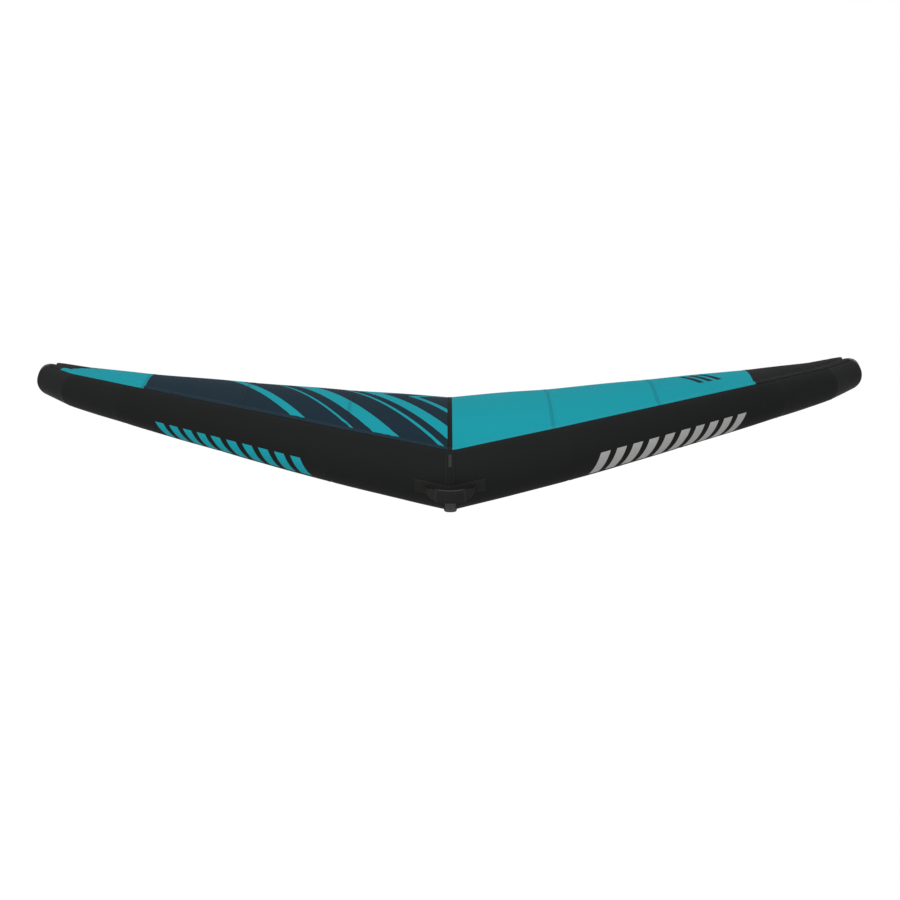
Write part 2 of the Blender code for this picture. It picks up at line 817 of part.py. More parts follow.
def batten(number, side):
    centre = CANOPY_HALF_SPAN * BATTEN_PLACE_SHARES[number]
    floor = CANOPY_WALL + POCKET_LIFT
    wall = (POCKET_THICK - BATTEN_THICK) / 2
    slot_width = BATTEN_WIDTH + POCKET_ROOM
    slot_thick = BATTEN_THICK + POCKET_ROOM
    ending = f"{number + 1}_{side}"

    def strip(name, width, lift, thick, front_inset, rear_reach, material):
        bm = rear_strip(centre, width, lift, front_inset, rear_reach)
        if side == "left":
            turn_over(bm)
        obj = add_mesh(name, bm, material)
        thicken(obj, thick, 1 if faces_up(obj) else -1)
        return obj

    pocket = strip(f"batten_pocket_{ending}", POCKET_WIDTH, floor, POCKET_THICK, 0, 0, BLACK_CLOTH)
    slot = strip(f"batten_slot_{ending}", slot_width, floor + wall - POCKET_ROOM / 2, slot_thick,
                 POCKET_END, CUT_OVERRUN, None)
    strip(f"batten_{ending}", BATTEN_WIDTH, floor + wall, BATTEN_THICK,
          POCKET_END + POCKET_ROOM, -POCKET_ROOM, BATTEN_FIBRE)
    cut(pocket, as_cutter(slot))


# Handles: each hangs along local -Z from a pivot line along local Y

def neck_rows(length):
    """Place along, height and half width of each row of a strap's neck."""
    neck = STRAP_NECK / 2
    end = -length / 2
    rows = [(end, neck * math.sin(angle), neck * math.cos(angle)) for angle in NECK_ANGLES]
    return rows + [(end, 0, neck), (end, -neck, neck)]


def strap_rows(length, drop):
    """The rows of a handle's strap to its middle, with a corner below each neck."""
    end = -length / 2
    rows = neck_rows(length) + [(end, -(drop - STRAP_CORNER), STRAP_WIDTH / 2)]
    corner = (end + STRAP_CORNER, -(drop - STRAP_CORNER))
    for back, up in arc(corner, STRAP_CORNER, math.pi, 3 * math.pi / 2, 5)[1:]:
        rows.append((back, up, STRAP_WIDTH / 2))
    return rows


def bow_point(length, drop, step, out=0.0):
    """Place along and height on a bowed handle's arc, at a step from its end and this far outside it."""
    depth = drop - STRAP_NECK
    radius = (depth ** 2 + (length / 2) ** 2) / (2 * depth)
    angle = math.asin(length / 2 / radius) * (2 * step / BOW_STEPS - 1)
    return (radius + out) * math.sin(angle), radius - drop - (radius + out) * math.cos(angle)


def bowed_rows(length, drop):
    """The rows of a bowed handle's strap to its middle, widening below each neck."""
    rows = neck_rows(length)
    for step in range(BOW_STEPS // 2 + 1):
        wide = mix(STRAP_NECK, STRAP_WIDTH, min(1, step / BOW_WIDENING_STEPS))
        rows.append((*bow_point(length, drop, step), wide / 2))
    return rows


def handle_strap(name, half, place):
    rows = half + [(-back, up, wide) for back, up, wide in reversed(half)]

    def point_at(along, across):
        back, up, wide = rows[round(along * (len(rows) - 1))]
        return Vector((wide * (2 * across - 1), back, up))

    obj = add_mesh(f"{name}_strap", patch(len(rows) - 1, 2, point_at), WEBBING, place)
    thicken(obj, STRAP_THICK, 0)


def handle_grip(name, length, drop, place):
    """The padded cover on the strap's straight run, with the slot that the strap fills."""
    grip_length = length - 2 * (STRAP_CORNER + STRAP_THICK)
    edge = rounded_rectangle(GRIP_WIDTH, GRIP_THICK, GRIP_CORNER)
    slot = rounded_rectangle(STRAP_WIDTH + 4 * GAP, STRAP_THICK + 4 * GAP, GAP, 1)
    along = place_at(Vector((0, 0, -drop)), "X", -math.pi / 2)
    flat_outline(f"{name}_grip", [edge, slot], grip_length, GRIP_FOAM, place @ along)


def bowed_grip(name, length, drop, place):
    """The padded cover on the middle of a bowed strap, with the slot that the strap fills."""

    def swept(outline, first):
        bm = bmesh.new()
        loops = []
        for step in range(first, BOW_STEPS - first + 1):
            verts = [bm.verts.new((across, *bow_point(length, drop, step, out))) for across, out in outline]
            loops.append([bm.edges.new(pair) for pair in zip(verts, verts[1:] + verts[:1])])
        for near, far in zip(loops, loops[1:]):
            bmesh.ops.bridge_loops(bm, edges=near + far)
        for loop in (loops[0], loops[-1]):
            bmesh.ops.edgeloop_fill(bm, edges=loop)
        return bm

    edge = rounded_rectangle(GRIP_WIDTH, BOW_GRIP_THICK, BOW_GRIP_CORNER)
    slot = rounded_rectangle(STRAP_WIDTH + 4 * GAP, STRAP_THICK + 4 * GAP, GAP, 1)
    grip = add_mesh(f"{name}_grip", swept(edge, BOW_GRIP_STEPS), GRIP_FOAM, place)
    cut(grip, as_cutter(add_mesh(f"{name}_slot", swept(slot, BOW_GRIP_STEPS - 1), None, place)))


def foot_tab(name, length, end, rise, place):
    """A sewn tab beside one end of the strap, from the pivot line up into the foot strip."""
    beside = end * (length / 2 + STRAP_THICK + GAP)
    bm = rod(STRAP_NECK / 2, STRAP_THICK, place_at(Vector((0, beside, 0)), "X", math.pi / 2))
    disc = add_mesh(f"{name}_tab_disc", bm, None, place)
    size = Vector((STRAP_NECK, STRAP_THICK, rise))
    obj = add_mesh(f"{name}_tab", block(size, Vector((0, beside, rise / 2))), None, place)
    join(obj, disc)
    return obj


def strut_handle(name, back):
    low = strut_point(back, 0, FOOT_ROOM + FOOT_STRIP_THICK + FOOT_STANDOFF)
    place = place_at(low, "X", strut_slope(back, STRUT_HANDLE_LENGTH / 2))
    handle_strap(name, strap_rows(STRUT_HANDLE_LENGTH, STRUT_HANDLE_DROP), place)
    handle_grip(name, STRUT_HANDLE_LENGTH, STRUT_HANDLE_DROP, place)
    reach = STRUT_HANDLE_LENGTH / 2 + FOOT_STRIP_OVERHANG

    def point_at(along, around):
        angle = FOOT_STRIP_ANGLE * (2 * around - 1)
        return strut_point(back + reach * (2 * along - 1), angle, FOOT_ROOM)

    feet = add_mesh(f"{name}_feet", patch(6, 6, point_at), WEBBING)
    thicken(feet, FOOT_STRIP_THICK, -1 if faces_up(feet) else 1)
    for end in (-1, 1):
        pivot_end = place @ Vector((0, end * STRUT_HANDLE_LENGTH / 2, 0))
        rise = strut_point(pivot_end.y, 0, FOOT_ROOM + FOOT_STRIP_THICK - FOOT_SINK).z - pivot_end.z
        join(feet, foot_tab(f"{name}_{end}", STRUT_HANDLE_LENGTH, end, rise, place))


def nose_handle():
    """The bowed handle across the V at the front of the leading edge."""
    name = "nose_handle"
    lift = GAP * 2 + SEAM_TAPE_THICK
    across = NOSE_HANDLE_LENGTH / 2 + STRAP_THICK / 2 + GAP
    tilt = -NOSE_HANDLE_ANGLE - math.pi / 2
    hang = Vector((0, -math.cos(tilt), -math.sin(tilt)))
    foot = nose_point(across, NOSE_HANDLE_ANGLE, lift + FOOT_STRIP_THICK)
    low = Vector((0, foot.y, foot.z)) + hang * FOOT_STANDOFF
    basis = Matrix((-hang.cross(Vector((1, 0, 0))), Vector((1, 0, 0)), -hang)).transposed()
    place = Matrix.Translation(low) @ basis.to_4x4()
    handle_strap(name, bowed_rows(NOSE_HANDLE_LENGTH, NOSE_HANDLE_DROP), place)
    bowed_grip(name, NOSE_HANDLE_LENGTH, NOSE_HANDLE_DROP, place)

    def point_at(along, around):
        angle = NOSE_HANDLE_ANGLE + NOSE_STRIP_ANGLE * (2 * around - 1)
        return nose_point(NOSE_STRIP_END * along, angle, lift)

    feet = add_mesh(f"{name}_feet", patch(3, 4, point_at), WEBBING)
    forward = sum(face.normal.y * face.area for face in feet.data.polygons) < 0
    mirror_half(feet)
    thicken(feet, FOOT_STRIP_THICK, 1 if forward else -1)
    for end in (-1, 1):
        rise = FOOT_STANDOFF + FOOT_SINK
        join(feet, foot_tab(f"{name}_{end}", NOSE_HANDLE_LENGTH, end, rise, place))


# Webbing loops, leash tab and ring

def harness_loop(name, back):
    """A webbing loop with a flat crown, sewn flat at both ends below the strut."""
    top = -GAP
    inner = LOOP_CROWN / 2
    foot = LOOP_LENGTH / 2
    shoulder = inner + LOOP_HEIGHT / 2
    low = top - LOOP_HEIGHT
    outline = [
        (-foot, top), (-shoulder, top), (-inner, low + WEBBING_THICK), (inner, low + WEBBING_THICK),
        (shoulder, top), (foot, top), (foot, top - WEBBING_THICK), (shoulder + WEBBING_THICK / 2, top - WEBBING_THICK),
        (inner + WEBBING_THICK / 2, low), (-inner - WEBBING_THICK / 2, low),
        (-shoulder - WEBBING_THICK / 2, top - WEBBING_THICK), (-foot, top - WEBBING_THICK),
    ]
    upright = Matrix.Rotation(math.pi / 2, 4, "Z") @ Matrix.Rotation(math.pi / 2, 4, "X")
    place = place_at(strut_point(back, 0), "X", strut_slope(back, foot)) @ upright
    flat_outline(name, [outline], LOOP_WIDTH, WEBBING, place)


def leash_point():
    """The centre of the ring's wire where it passes through the tab's eye."""
    down = GAP + LEASH_TAB_HEIGHT - LEASH_EYE_FLOOR - LEASH_EYE_RADIUS
    return strut_point(LEASH_BACK, 0) - Vector((0, 0, down))


def leash_tab_and_ring():
    half = LEASH_TAB_LENGTH / 2
    top = -GAP
    low_centre = (0, top - LEASH_TAB_HEIGHT + LEASH_EYE_FLOOR + LEASH_EYE_RADIUS)
    nose = LEASH_EYE_FLOOR + LEASH_EYE_RADIUS
    outline = [(half, top), (-half, top)] + arc(low_centre, nose, math.pi, 2 * math.pi, 10)
    eye = circle(LEASH_EYE_RADIUS, low_centre, 16)
    upright = Matrix.Rotation(math.pi / 2, 4, "Z") @ Matrix.Rotation(math.pi / 2, 4, "X")
    place = place_at(strut_point(LEASH_BACK, 0), "X", strut_slope(LEASH_BACK, half)) @ upright
    flat_outline("leash_tab", [outline, eye], LEASH_TAB_WIDTH, WEBBING, place)

    bpy.ops.mesh.primitive_torus_add(
        major_segments=24, minor_segments=8, major_radius=LEASH_RING_RADIUS, minor_radius=LEASH_WIRE_RADIUS
    )
    ring = bpy.context.object
    ring.name = ring.data.name = "leash_ring"
    hang = Matrix.Translation((0, 0, -LEASH_RING_RADIUS)) @ Matrix.Rotation(math.pi / 2, 4, "X")
    ring.data.transform(hang)
    for owner in list(ring.users_collection):
        owner.objects.unlink(ring)
    PARTS.objects.link(ring)
    ring.parent = WING_FRAME
    ring.location = leash_point()
    ring.data.materials.append(STEEL)


# Inflation valve, on the back of the leading edge

def valve_place():
    """The wall of the leading edge where the valve stands, with local Z pointing back."""
    surface = tube_point(VALVE_ACROSS, math.pi / 2)
    return place_at(surface, "X", -math.pi / 2)


def valve_hole():
    depth = TUBE_RADIUS
    middle = Vector((0, 0, (CUT_OVERRUN - depth) / 2))
    bm = rod(VALVE_STEM_RADIUS + GAP, depth + CUT_OVERRUN, Matrix.Translation(middle))
    return as_cutter(add_mesh("valve_hole", bm, None, valve_place()))


def hinge_offset():
    return VALVE_RIM_RADIUS + HINGE_REACH


def valve():
    place = valve_place()
    top, base = VALVE_STANDOFF, -VALVE_DEPTH
    neck = top - VALVE_RIM_HEIGHT
    profile = [
        (VALVE_RIM_RADIUS, top), (VALVE_RIM_RADIUS, neck), (VALVE_STEM_RADIUS, neck),
        (VALVE_STEM_RADIUS, base + VALVE_FLANGE_THICK), (VALVE_FLANGE_RADIUS, base + VALVE_FLANGE_THICK),
        (VALVE_FLANGE_RADIUS, base), (VALVE_BORE_RADIUS, base), (VALVE_BORE_RADIUS, top),
    ]
    body = turned("valve_body", profile, MOULDING, place)
    ear_size = Vector((HINGE_LENGTH, 2 * HINGE_REACH + HINGE_RADIUS, VALVE_RIM_HEIGHT))
    ear_centre = Vector((0, hinge_offset() - ear_size.y / 2 + HINGE_RADIUS, neck + ear_size.z / 2))
    join(body, add_mesh("valve_ear", block(ear_size, ear_centre), None, place))

    pivot = Vector((0, hinge_offset(), top + GAP + HINGE_RADIUS))
    lid_place = place @ Matrix.Translation(pivot)
    lid_centre = Vector((0, -hinge_offset(), CAP_THICK / 2 - HINGE_RADIUS))
    bm = rod(VALVE_RIM_RADIUS, CAP_THICK, Matrix.Translation(lid_centre))
    cap = add_mesh("valve_cap", bm, MOULDING, lid_place)
    edge = cap.modifiers.new("edge", "BEVEL")
    edge.width, edge.segments, edge.limit_method = CAP_BEVEL, 2, "ANGLE"
    knuckle = rod(HINGE_RADIUS, HINGE_LENGTH, Matrix.Rotation(math.pi / 2, 4, "Y"), ROUND_STEPS // 2)
    join(cap, add_mesh("cap_knuckle", knuckle, None, lid_place))
    strap_size = Vector((HINGE_LENGTH, HINGE_REACH * 2, HINGE_RADIUS))
    strap = block(strap_size, Vector((0, -HINGE_REACH, 0)))
    join(cap, add_mesh("cap_strap", strap, None, lid_place))

    flap_pivot = Vector((0, -FLAP_RADIUS, base - GAP - FLAP_THICK / 2))
    flap_disc = rod(FLAP_RADIUS, FLAP_THICK, Matrix.Translation((0, FLAP_RADIUS, 0)))
    add_mesh("valve_flap", flap_disc, BLADDER_FILM, place @ Matrix.Translation(flap_pivot))


# Hose between the leading edge and the strut, with its fittings and pinch clip

def hose_places():
    """Where the fittings stand on the two sleeves, with local Z pointing out of each."""
    wall = MIRROR_ACROSS @ tube_point(HOSE_ACROSS, math.pi / 2)
    strut_wall = strut_axis(HOSE_BACK) + Vector((-strut_radius(HOSE_BACK), 0, 0))
    return place_at(wall, "X", -math.pi / 2), place_at(strut_wall, "Y", -math.pi / 2)


def hose_hole(name, place, depth):
    middle = Vector((0, 0, (CUT_OVERRUN - depth) / 2))
    bm = rod(FITTING_COLLAR_RADIUS + GAP, depth + CUT_OVERRUN, Matrix.Translation(middle))
    return as_cutter(add_mesh(name, bm, None, place))


def hose_fitting(name, place):
    top, base = FITTING_COLLAR_HEIGHT, -FITTING_DEPTH
    flange_top = base + FITTING_FLANGE_THICK
    profile = [
        (FITTING_COLLAR_RADIUS, top), (FITTING_COLLAR_RADIUS, flange_top), (FITTING_FLANGE_RADIUS, flange_top),
        (FITTING_FLANGE_RADIUS, base), (FITTING_BORE_RADIUS, base), (FITTING_BORE_RADIUS, top),
    ]
    turned(name, profile, MOULDING, place)


def bezier(ends, share):
    first, second, third, fourth = ends
    rest = 1 - share
    return (first * rest ** 3 + second * 3 * rest ** 2 * share
            + third * 3 * rest * share ** 2 + fourth * share ** 3)


def connecting_hose(places):
    rise = Vector((0, 0, FITTING_COLLAR_HEIGHT + GAP))
    start, end = (place @ rise for place in places)
    bend = start + Vector((0, CLIP_FROM_FITTING + CLIP_LENGTH, 0))
    ends = (bend, bend + Vector((0, HOSE_LEAD_OUT, 0)), end - Vector((HOSE_LEAD_IN, 0, 0)), end)
    points = [start] + [bezier(ends, step / HOSE_STEPS) for step in range(HOSE_STEPS + 1)]
    curve = bpy.data.curves.new("connecting_hose", "CURVE")
    curve.dimensions = "3D"
    curve.bevel_depth = HOSE_RADIUS
    curve.bevel_resolution = 3
    curve.use_fill_caps = True
    spline = curve.splines.new("POLY")
    spline.points.add(len(points) - 1)
    for spline_point, point in zip(spline.points, points):
        spline_point.co = (*point, 1)
    add_object("connecting_hose", curve, MOULDING)


def pinch_clip(place):
    """A block on the hose with a lever that squeezes it shut."""
    centre = place @ Vector((0, 0, FITTING_COLLAR_HEIGHT + CLIP_FROM_FITTING))
    across = place_at(centre, "X", math.pi / 2)
    edge = rounded_rectangle(CLIP_WIDTH, CLIP_HEIGHT, CLIP_CORNER)
    body = flat_outline("hose_clip", [edge, circle(HOSE_RADIUS + GAP * 2)], CLIP_LENGTH, MOULDING, across)
    body = as_mesh(body)
    body.data.materials.append(MOULDING)

    side = CLIP_WIDTH / 2 - CLIP_EYE_RADIUS
    pin_height = CLIP_HEIGHT / 2 + CLIP_EYE_RADIUS + GAP
    pivot = centre + Vector((side, 0, pin_height))
    lever_room = CLIP_LENGTH - 2 * CLIP_EAR_WALL
    for end in (-1, 1):
        ear_place = place_at(pivot + Vector((0, end * (CLIP_LENGTH - CLIP_EAR_WALL) / 2, 0)), "X", math.pi / 2)
        half = CLIP_EYE_RADIUS - GAP
        outline = arc((0, 0), half, 0, math.pi, 10) + [(-half, -CLIP_EYE_RADIUS * 2), (half, -CLIP_EYE_RADIUS * 2)]
        join(body, as_mesh(flat_outline(f"clip_ear_{end}", [outline], CLIP_EAR_WALL, None, ear_place)))
    pin = rod(CLIP_PIN_RADIUS, CLIP_LENGTH - CLIP_EAR_WALL, place_at(pivot, "X", math.pi / 2), ROUND_STEPS // 2)
    join(body, add_mesh("clip_pin", pin, None))

    tip = -LEVER_LENGTH
    low = -CLIP_EYE_RADIUS
    eye = CLIP_EYE_RADIUS
    outline = arc((0, 0), eye, -math.pi / 2, math.pi / 2, 10) + [
        (tip / 2, low + LEVER_CREST), (tip, low + LEVER_THICK), (tip, low),
    ]
    hole = circle(CLIP_PIN_RADIUS + GAP, steps=16)
    lever_place = place_at(pivot, "X", math.pi / 2)
    flat_outline("hose_clip_lever", [outline, hole], lever_room - 2 * GAP, MOULDING, lever_place)


# Zip for reaching the bladder, on the back of the second left panel

def zip_point(along, around, lift):
    near, far = STATIONS[1], STATIONS[2]
    angle = ZIP_ANGLE + ZIP_HALF_ANGLE * (2 * around - 1)
    share = mix(ZIP_START_SHARE, ZIP_END_SHARE, along)
    return mix(near.point(angle, lift), far.point(angle, lift), share)


def bladder_zip():
    bm = patch(1, 6, lambda along, around: zip_point(along, around, GAP))
    turn_over(bm)
    tape = add_mesh("zip_tape", bm, WEBBING)
    backward = sum(face.normal.y * face.area for face in tape.data.polygons) > 0
    thicken(tape, ZIP_THICK, 1 if backward else -1)

    lift = GAP * 2 + ZIP_THICK
    start, end = (MIRROR_ACROSS @ zip_point(along, 0.5, lift) for along in (0, 1))
    run = (end - start).normalized()
    out = (MIRROR_ACROSS @ zip_point(0, 0.5, lift + SLIDER_WIDTH) - start).normalized()
    out = (out - out.dot(run) * run).normalized()
    basis = Matrix((run, out.cross(run), out)).transposed().to_4x4()
    place = Matrix.Translation(mix(start, end, SLIDER_INSET_SHARE)) @ basis
    size = Vector((SLIDER_LENGTH, SLIDER_WIDTH, SLIDER_HEIGHT))
    slider = add_mesh("zip_slider", block(size, Vector((0, 0, SLIDER_HEIGHT / 2))), STEEL, place)
    edge = slider.modifiers.new("edge", "BEVEL")
    edge.width, edge.segments = SLIDER_BEVEL, 2
    pull_size = Vector((PULL_LENGTH, PULL_WIDTH, PULL_THICK))
    pull_centre = Vector((PULL_LENGTH / 2, 0, SLIDER_HEIGHT - PULL_THICK))
    join(slider, add_mesh("zip_pull", block(pull_size, pull_centre), None, place))


# The whole wing

def build():
    places = hose_places()
    core = leading_edge_core()
    valve_cutter = valve_hole()
    tube_hose_hole = hose_hole("tube_hose_hole", places[0], TUBE_RADIUS)
    strut_hose_hole = hose_hole("strut_hose_hole", places[1], STRUT_RADIUS)

    panels = {}
    for side in ("right", "left"):
        for number in range(len(SLEEVE_PANELS)):
            panels[number, side] = sleeve_panel(number, side)
    cut(panels[0, "right"], valve_cutter)
    cut(panels[0, "left"], tube_hose_hole)
    bladder = leading_edge_bladder()
    cut(bladder, valve_cutter)
    cut(bladder, tube_hose_hole)
    seam_tape()
    webbing_tab()

    strut_sleeve(core, strut_hose_hole)
    strut_bladder(strut_hose_hole)
    strut_tail_cap()
    strut_web()

    for side in ("right", "left"):
        for number in range(len(CANOPY_SEAM_SHARES) - 1):
            canopy_panel(number, side)
        trailing_edge_hem(side)
        for number in range(len(BATTEN_PLACE_SHARES)):
            batten(number, side)

    strut_handle("front_handle", FRONT_HANDLE_BACK)
    strut_handle("rear_handle", REAR_HANDLE_BACK)
    nose_handle()
    harness_loop("front_harness_loop", FRONT_LOOP_BACK)
    harness_loop("rear_harness_loop", REAR_LOOP_BACK)
    leash_tab_and_ring()

    valve()
    hose_fitting("tube_hose_fitting", places[0])
    hose_fitting("strut_hose_fitting", places[1])
    connecting_hose(places)
    pinch_clip(places[0])
    bladder_zip()


build()
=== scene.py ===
# %% [markdown]
# A wingfoil wing is a hand-held inflatable wing: an air-filled leading edge bent into a V,
# a thin canopy sewn behind it and a centre strut with handles below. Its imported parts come
# first, because they give every later piece its real size and its place.

import json
import math

import bmesh
import bpy
from mathutils import Matrix, Vector, noise


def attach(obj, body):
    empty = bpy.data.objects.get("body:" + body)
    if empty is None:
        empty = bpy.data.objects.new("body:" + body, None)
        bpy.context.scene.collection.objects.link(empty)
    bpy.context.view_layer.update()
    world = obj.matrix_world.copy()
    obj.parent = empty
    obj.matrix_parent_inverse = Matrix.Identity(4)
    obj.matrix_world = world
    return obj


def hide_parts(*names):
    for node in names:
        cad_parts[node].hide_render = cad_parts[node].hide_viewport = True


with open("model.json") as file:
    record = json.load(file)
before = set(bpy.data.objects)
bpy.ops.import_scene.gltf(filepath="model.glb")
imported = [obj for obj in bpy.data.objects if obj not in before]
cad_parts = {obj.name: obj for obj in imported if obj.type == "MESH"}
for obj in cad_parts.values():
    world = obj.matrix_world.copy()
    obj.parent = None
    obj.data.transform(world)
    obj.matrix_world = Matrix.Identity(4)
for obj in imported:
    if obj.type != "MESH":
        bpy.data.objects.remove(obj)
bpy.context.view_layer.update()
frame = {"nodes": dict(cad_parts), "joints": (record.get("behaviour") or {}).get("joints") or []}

# %% [markdown]
# The photograph looks at the nose of the wing from a little above, with a long lens, and
# leans by less than half a degree. A camera far away keeps both tips at nearly the same
# scale. It could be placed by eye; here it stands on a measured arc in front of the wing.

# %% Camera in front of the nose
LOOK_AT = Vector((0, -0.06, 0.1846))
CAMERA_DISTANCE = 12.0
CAMERA_CLIMB = math.radians(3.0)
CAMERA_DIP = math.radians(3.2235)
CAMERA_LEAN = math.radians(0.4)
CAMERA_LENS = 133.33
SIGHT_LIMIT = 500.0

camera = bpy.data.objects.new("camera", bpy.data.cameras.new("camera"))
bpy.context.scene.collection.objects.link(camera)
camera.data.lens = CAMERA_LENS
camera.data.clip_end = SIGHT_LIMIT
away = Vector((0, -math.cos(CAMERA_CLIMB), math.sin(CAMERA_CLIMB)))
camera.location = LOOK_AT + CAMERA_DISTANCE * away
tilt = Matrix.Rotation(math.pi / 2 - CAMERA_DIP, 3, "X")
camera.rotation_euler = (tilt @ Matrix.Rotation(-CAMERA_LEAN, 3, "Z")).to_euler()
bpy.context.scene.camera = camera
bpy.context.scene.view_settings.view_transform = "Standard"
print("camera at", [round(c, 2) for c in camera.location])

# %% [markdown]
# A material is built from small nodes. This class is the workbench for all of them: it
# holds one node tree that ends in a Principled shader, and turns sums, noises and stripes
# into short calls. Writing each node out by hand would hide the idea behind the wiring.

# %% A workbench for materials
CUT_MAP = "cut"


class Recipe:
    """A material on its way to one Principled shader."""

    def __init__(self, name, roughness, specular, sheen=0.0):
        self.finish = bpy.data.materials.new(name)
        self.finish.use_nodes = True
        self.tree = self.finish.node_tree
        self.shader = self.tree.nodes["Principled BSDF"]
        self.shader.inputs["Roughness"].default_value = roughness
        self.shader.inputs["Specular IOR Level"].default_value = specular
        self.shader.inputs["Sheen Weight"].default_value = sheen

    def feed(self, socket, value):
        if isinstance(value, bpy.types.NodeSocket):
            self.tree.links.new(value, socket)
        else:
            socket.default_value = value

    def node(self, kind, values=(), **settings):
        made = self.tree.nodes.new("ShaderNode" + kind)
        for name, value in settings.items():
            setattr(made, name, value)
        for place, value in dict(values).items():
            self.feed(made.inputs[place], value)
        return made

    def calc(self, operation, *values):
        made = self.tree.nodes.new("ShaderNodeMath")
        made.operation = operation
        for socket, value in zip(made.inputs, values):
            self.feed(socket, value)
        return made.outputs[0]

    def flat_measures(self):
        """Metres along and across the flat cut of the cloth, from its own UV map."""
        split = self.node("SeparateXYZ", {0: self.node("UVMap", uv_map=CUT_MAP).outputs[0]})
        return split.outputs[0], split.outputs[1]

    def place(self, stretch=(1, 1, 1)):
        """Object coordinates, squeezed or stretched along each axis."""
        spot = self.node("TexCoord").outputs["Object"]
        return self.node("Mapping", {"Vector": spot, "Scale": stretch}).outputs[0]

    def noise(self, scale, detail=3, stretch=(1, 1, 1)):
        values = {"Vector": self.place(stretch), "Scale": scale, "Detail": detail}
        return self.node("TexNoise", values).outputs[0]

    def spread(self, value, low, high):
        """Carries 0 to 1 over to low to high."""
        return self.node("MapRange", {0: value, 3: low, 4: high}).outputs[0]

    def between(self, value, low, high):
        """1 where the value lies between two limits, and 0 elsewhere."""
        return self.calc("MULTIPLY", self.calc("GREATER_THAN", value, low), self.calc("LESS_THAN", value, high))

    def threads(self, value, pitch, width):
        """1 on lines that come back at every pitch."""
        return self.calc("LESS_THAN", self.calc("PINGPONG", value, pitch / 2), width / 2)

    def any_of(self, *masks):
        found = masks[0]
        for mask in masks[1:]:
            found = self.calc("MAXIMUM", found, mask)
        return found

    def blend(self, share, first, second):
        """A colour between two, given as colours or sockets."""
        made = self.node("Mix", data_type="RGBA")
        for place, value in ((0, share), (6, first), (7, second)):
            self.feed(made.inputs[place], (*value, 1) if isinstance(value, tuple) else value)
        return made.outputs[2]

    def shaded(self, colour, share):
        """The colour, lightened or darkened by a share that varies round 1."""
        made = self.node("HueSaturation", {"Value": share})
        self.feed(made.inputs["Color"], (*colour, 1) if isinstance(colour, tuple) else colour)
        return made.outputs[0]

    def done(self, colour, roughness=None, relief=None, depth=0.001, strength=1.0):
        """Wires colour, roughness and relief to the shader."""
        self.feed(self.shader.inputs["Base Color"], colour)
        if roughness is not None:
            self.feed(self.shader.inputs["Roughness"], roughness)
        if relief is not None:
            bump = self.node("Bump", {"Height": relief, "Distance": depth, "Strength": strength})
            self.feed(self.shader.inputs["Normal"], bump.outputs[0])
        print("finish", self.finish.name, "with", len(self.tree.nodes), "nodes")
        return self.finish


# %% [markdown]
# The wing hangs in the air as its rider holds it, so the floor lies well below it. The
# floor and the sky are bright only for rays that the camera, a mirror or glass sends, so
# that the background is white while the cloth is lit at a plain level. One large soft lamp
# in front models the tubes a little; more lamps would only flatten them.

# %% Floor, sky and soft lamp
FLOOR_HEIGHT = -1.9
FLOOR_HALF_WIDTH = 60.0
FLOOR_COLOUR = (0.90, 0.90, 0.89)
FLOOR_GLOW, FLOOR_GLOW_SHARE = 1.12, 0.8
SKY_STRENGTH = 0.66
LAMP_POWER = 300.0
LAMP_SIZE = 5.0
LAMP_PLACE = Vector((-1.6, -6.0, 4.6))
WHITE = (1.0, 1.0, 1.0, 1.0)


def seen_directly(tree):
    """1 for camera, mirror and glass rays."""
    path = tree.nodes.new("ShaderNodeLightPath")
    found = path.outputs["Is Camera Ray"]
    for name in ("Is Glossy Ray", "Is Transmission Ray"):
        either = tree.nodes.new("ShaderNodeMath")
        either.operation = "MAXIMUM"
        tree.links.new(found, either.inputs[0])
        tree.links.new(path.outputs[name], either.inputs[1])
        found = either.outputs[0]
    return found


def light_sky():
    world = bpy.data.worlds.new("studio sky")
    bpy.context.scene.world = world
    world.use_nodes = True
    tree = world.node_tree
    sky = tree.nodes["Background"]
    sky.inputs[0].default_value = WHITE
    level = tree.nodes.new("ShaderNodeMapRange")
    level.inputs[3].default_value = SKY_STRENGTH
    tree.links.new(seen_directly(tree), level.inputs[0])
    tree.links.new(level.outputs[0], sky.inputs[1])


def lay_floor():
    bm = bmesh.new()
    bmesh.ops.create_grid(bm, x_segments=8, y_segments=8, size=FLOOR_HALF_WIDTH)
    mesh = bpy.data.meshes.new("floor")
    bm.to_mesh(mesh)
    bm.free()
    floor = bpy.data.objects.new("floor", mesh)
    floor.location.z = FLOOR_HEIGHT
    bpy.context.scene.collection.objects.link(floor)
    recipe = Recipe("pale floor", 0.9, 0.1)
    recipe.done(recipe.shaded(FLOOR_COLOUR, recipe.spread(recipe.noise(0.6), 0.98, 1.02)))
    glow = recipe.node("Emission", {0: WHITE, 1: FLOOR_GLOW})
    share = recipe.calc("MULTIPLY", seen_directly(recipe.tree), FLOOR_GLOW_SHARE)
    lit = recipe.node("MixShader", {0: share, 1: recipe.shader.outputs[0], 2: glow.outputs[0]})
    below = recipe.node("NewGeometry").outputs["Backfacing"]
    clear = recipe.node("BsdfTransparent")
    out = recipe.node("MixShader", {0: below, 1: lit.outputs[0], 2: clear.outputs[0]})
    recipe.feed(recipe.tree.nodes["Material Output"].inputs[0], out.outputs[0])
    mesh.materials.append(recipe.finish)


def hang_lamp():
    lamp = bpy.data.lights.new("soft lamp", "AREA")
    lamp.energy = LAMP_POWER
    lamp.size = LAMP_SIZE
    holder = bpy.data.objects.new("soft lamp", lamp)
    holder.location = LAMP_PLACE
    holder.rotation_euler = (LOOK_AT - LAMP_PLACE).to_track_quat("-Z", "Y").to_euler()
    bpy.context.scene.collection.objects.link(holder)


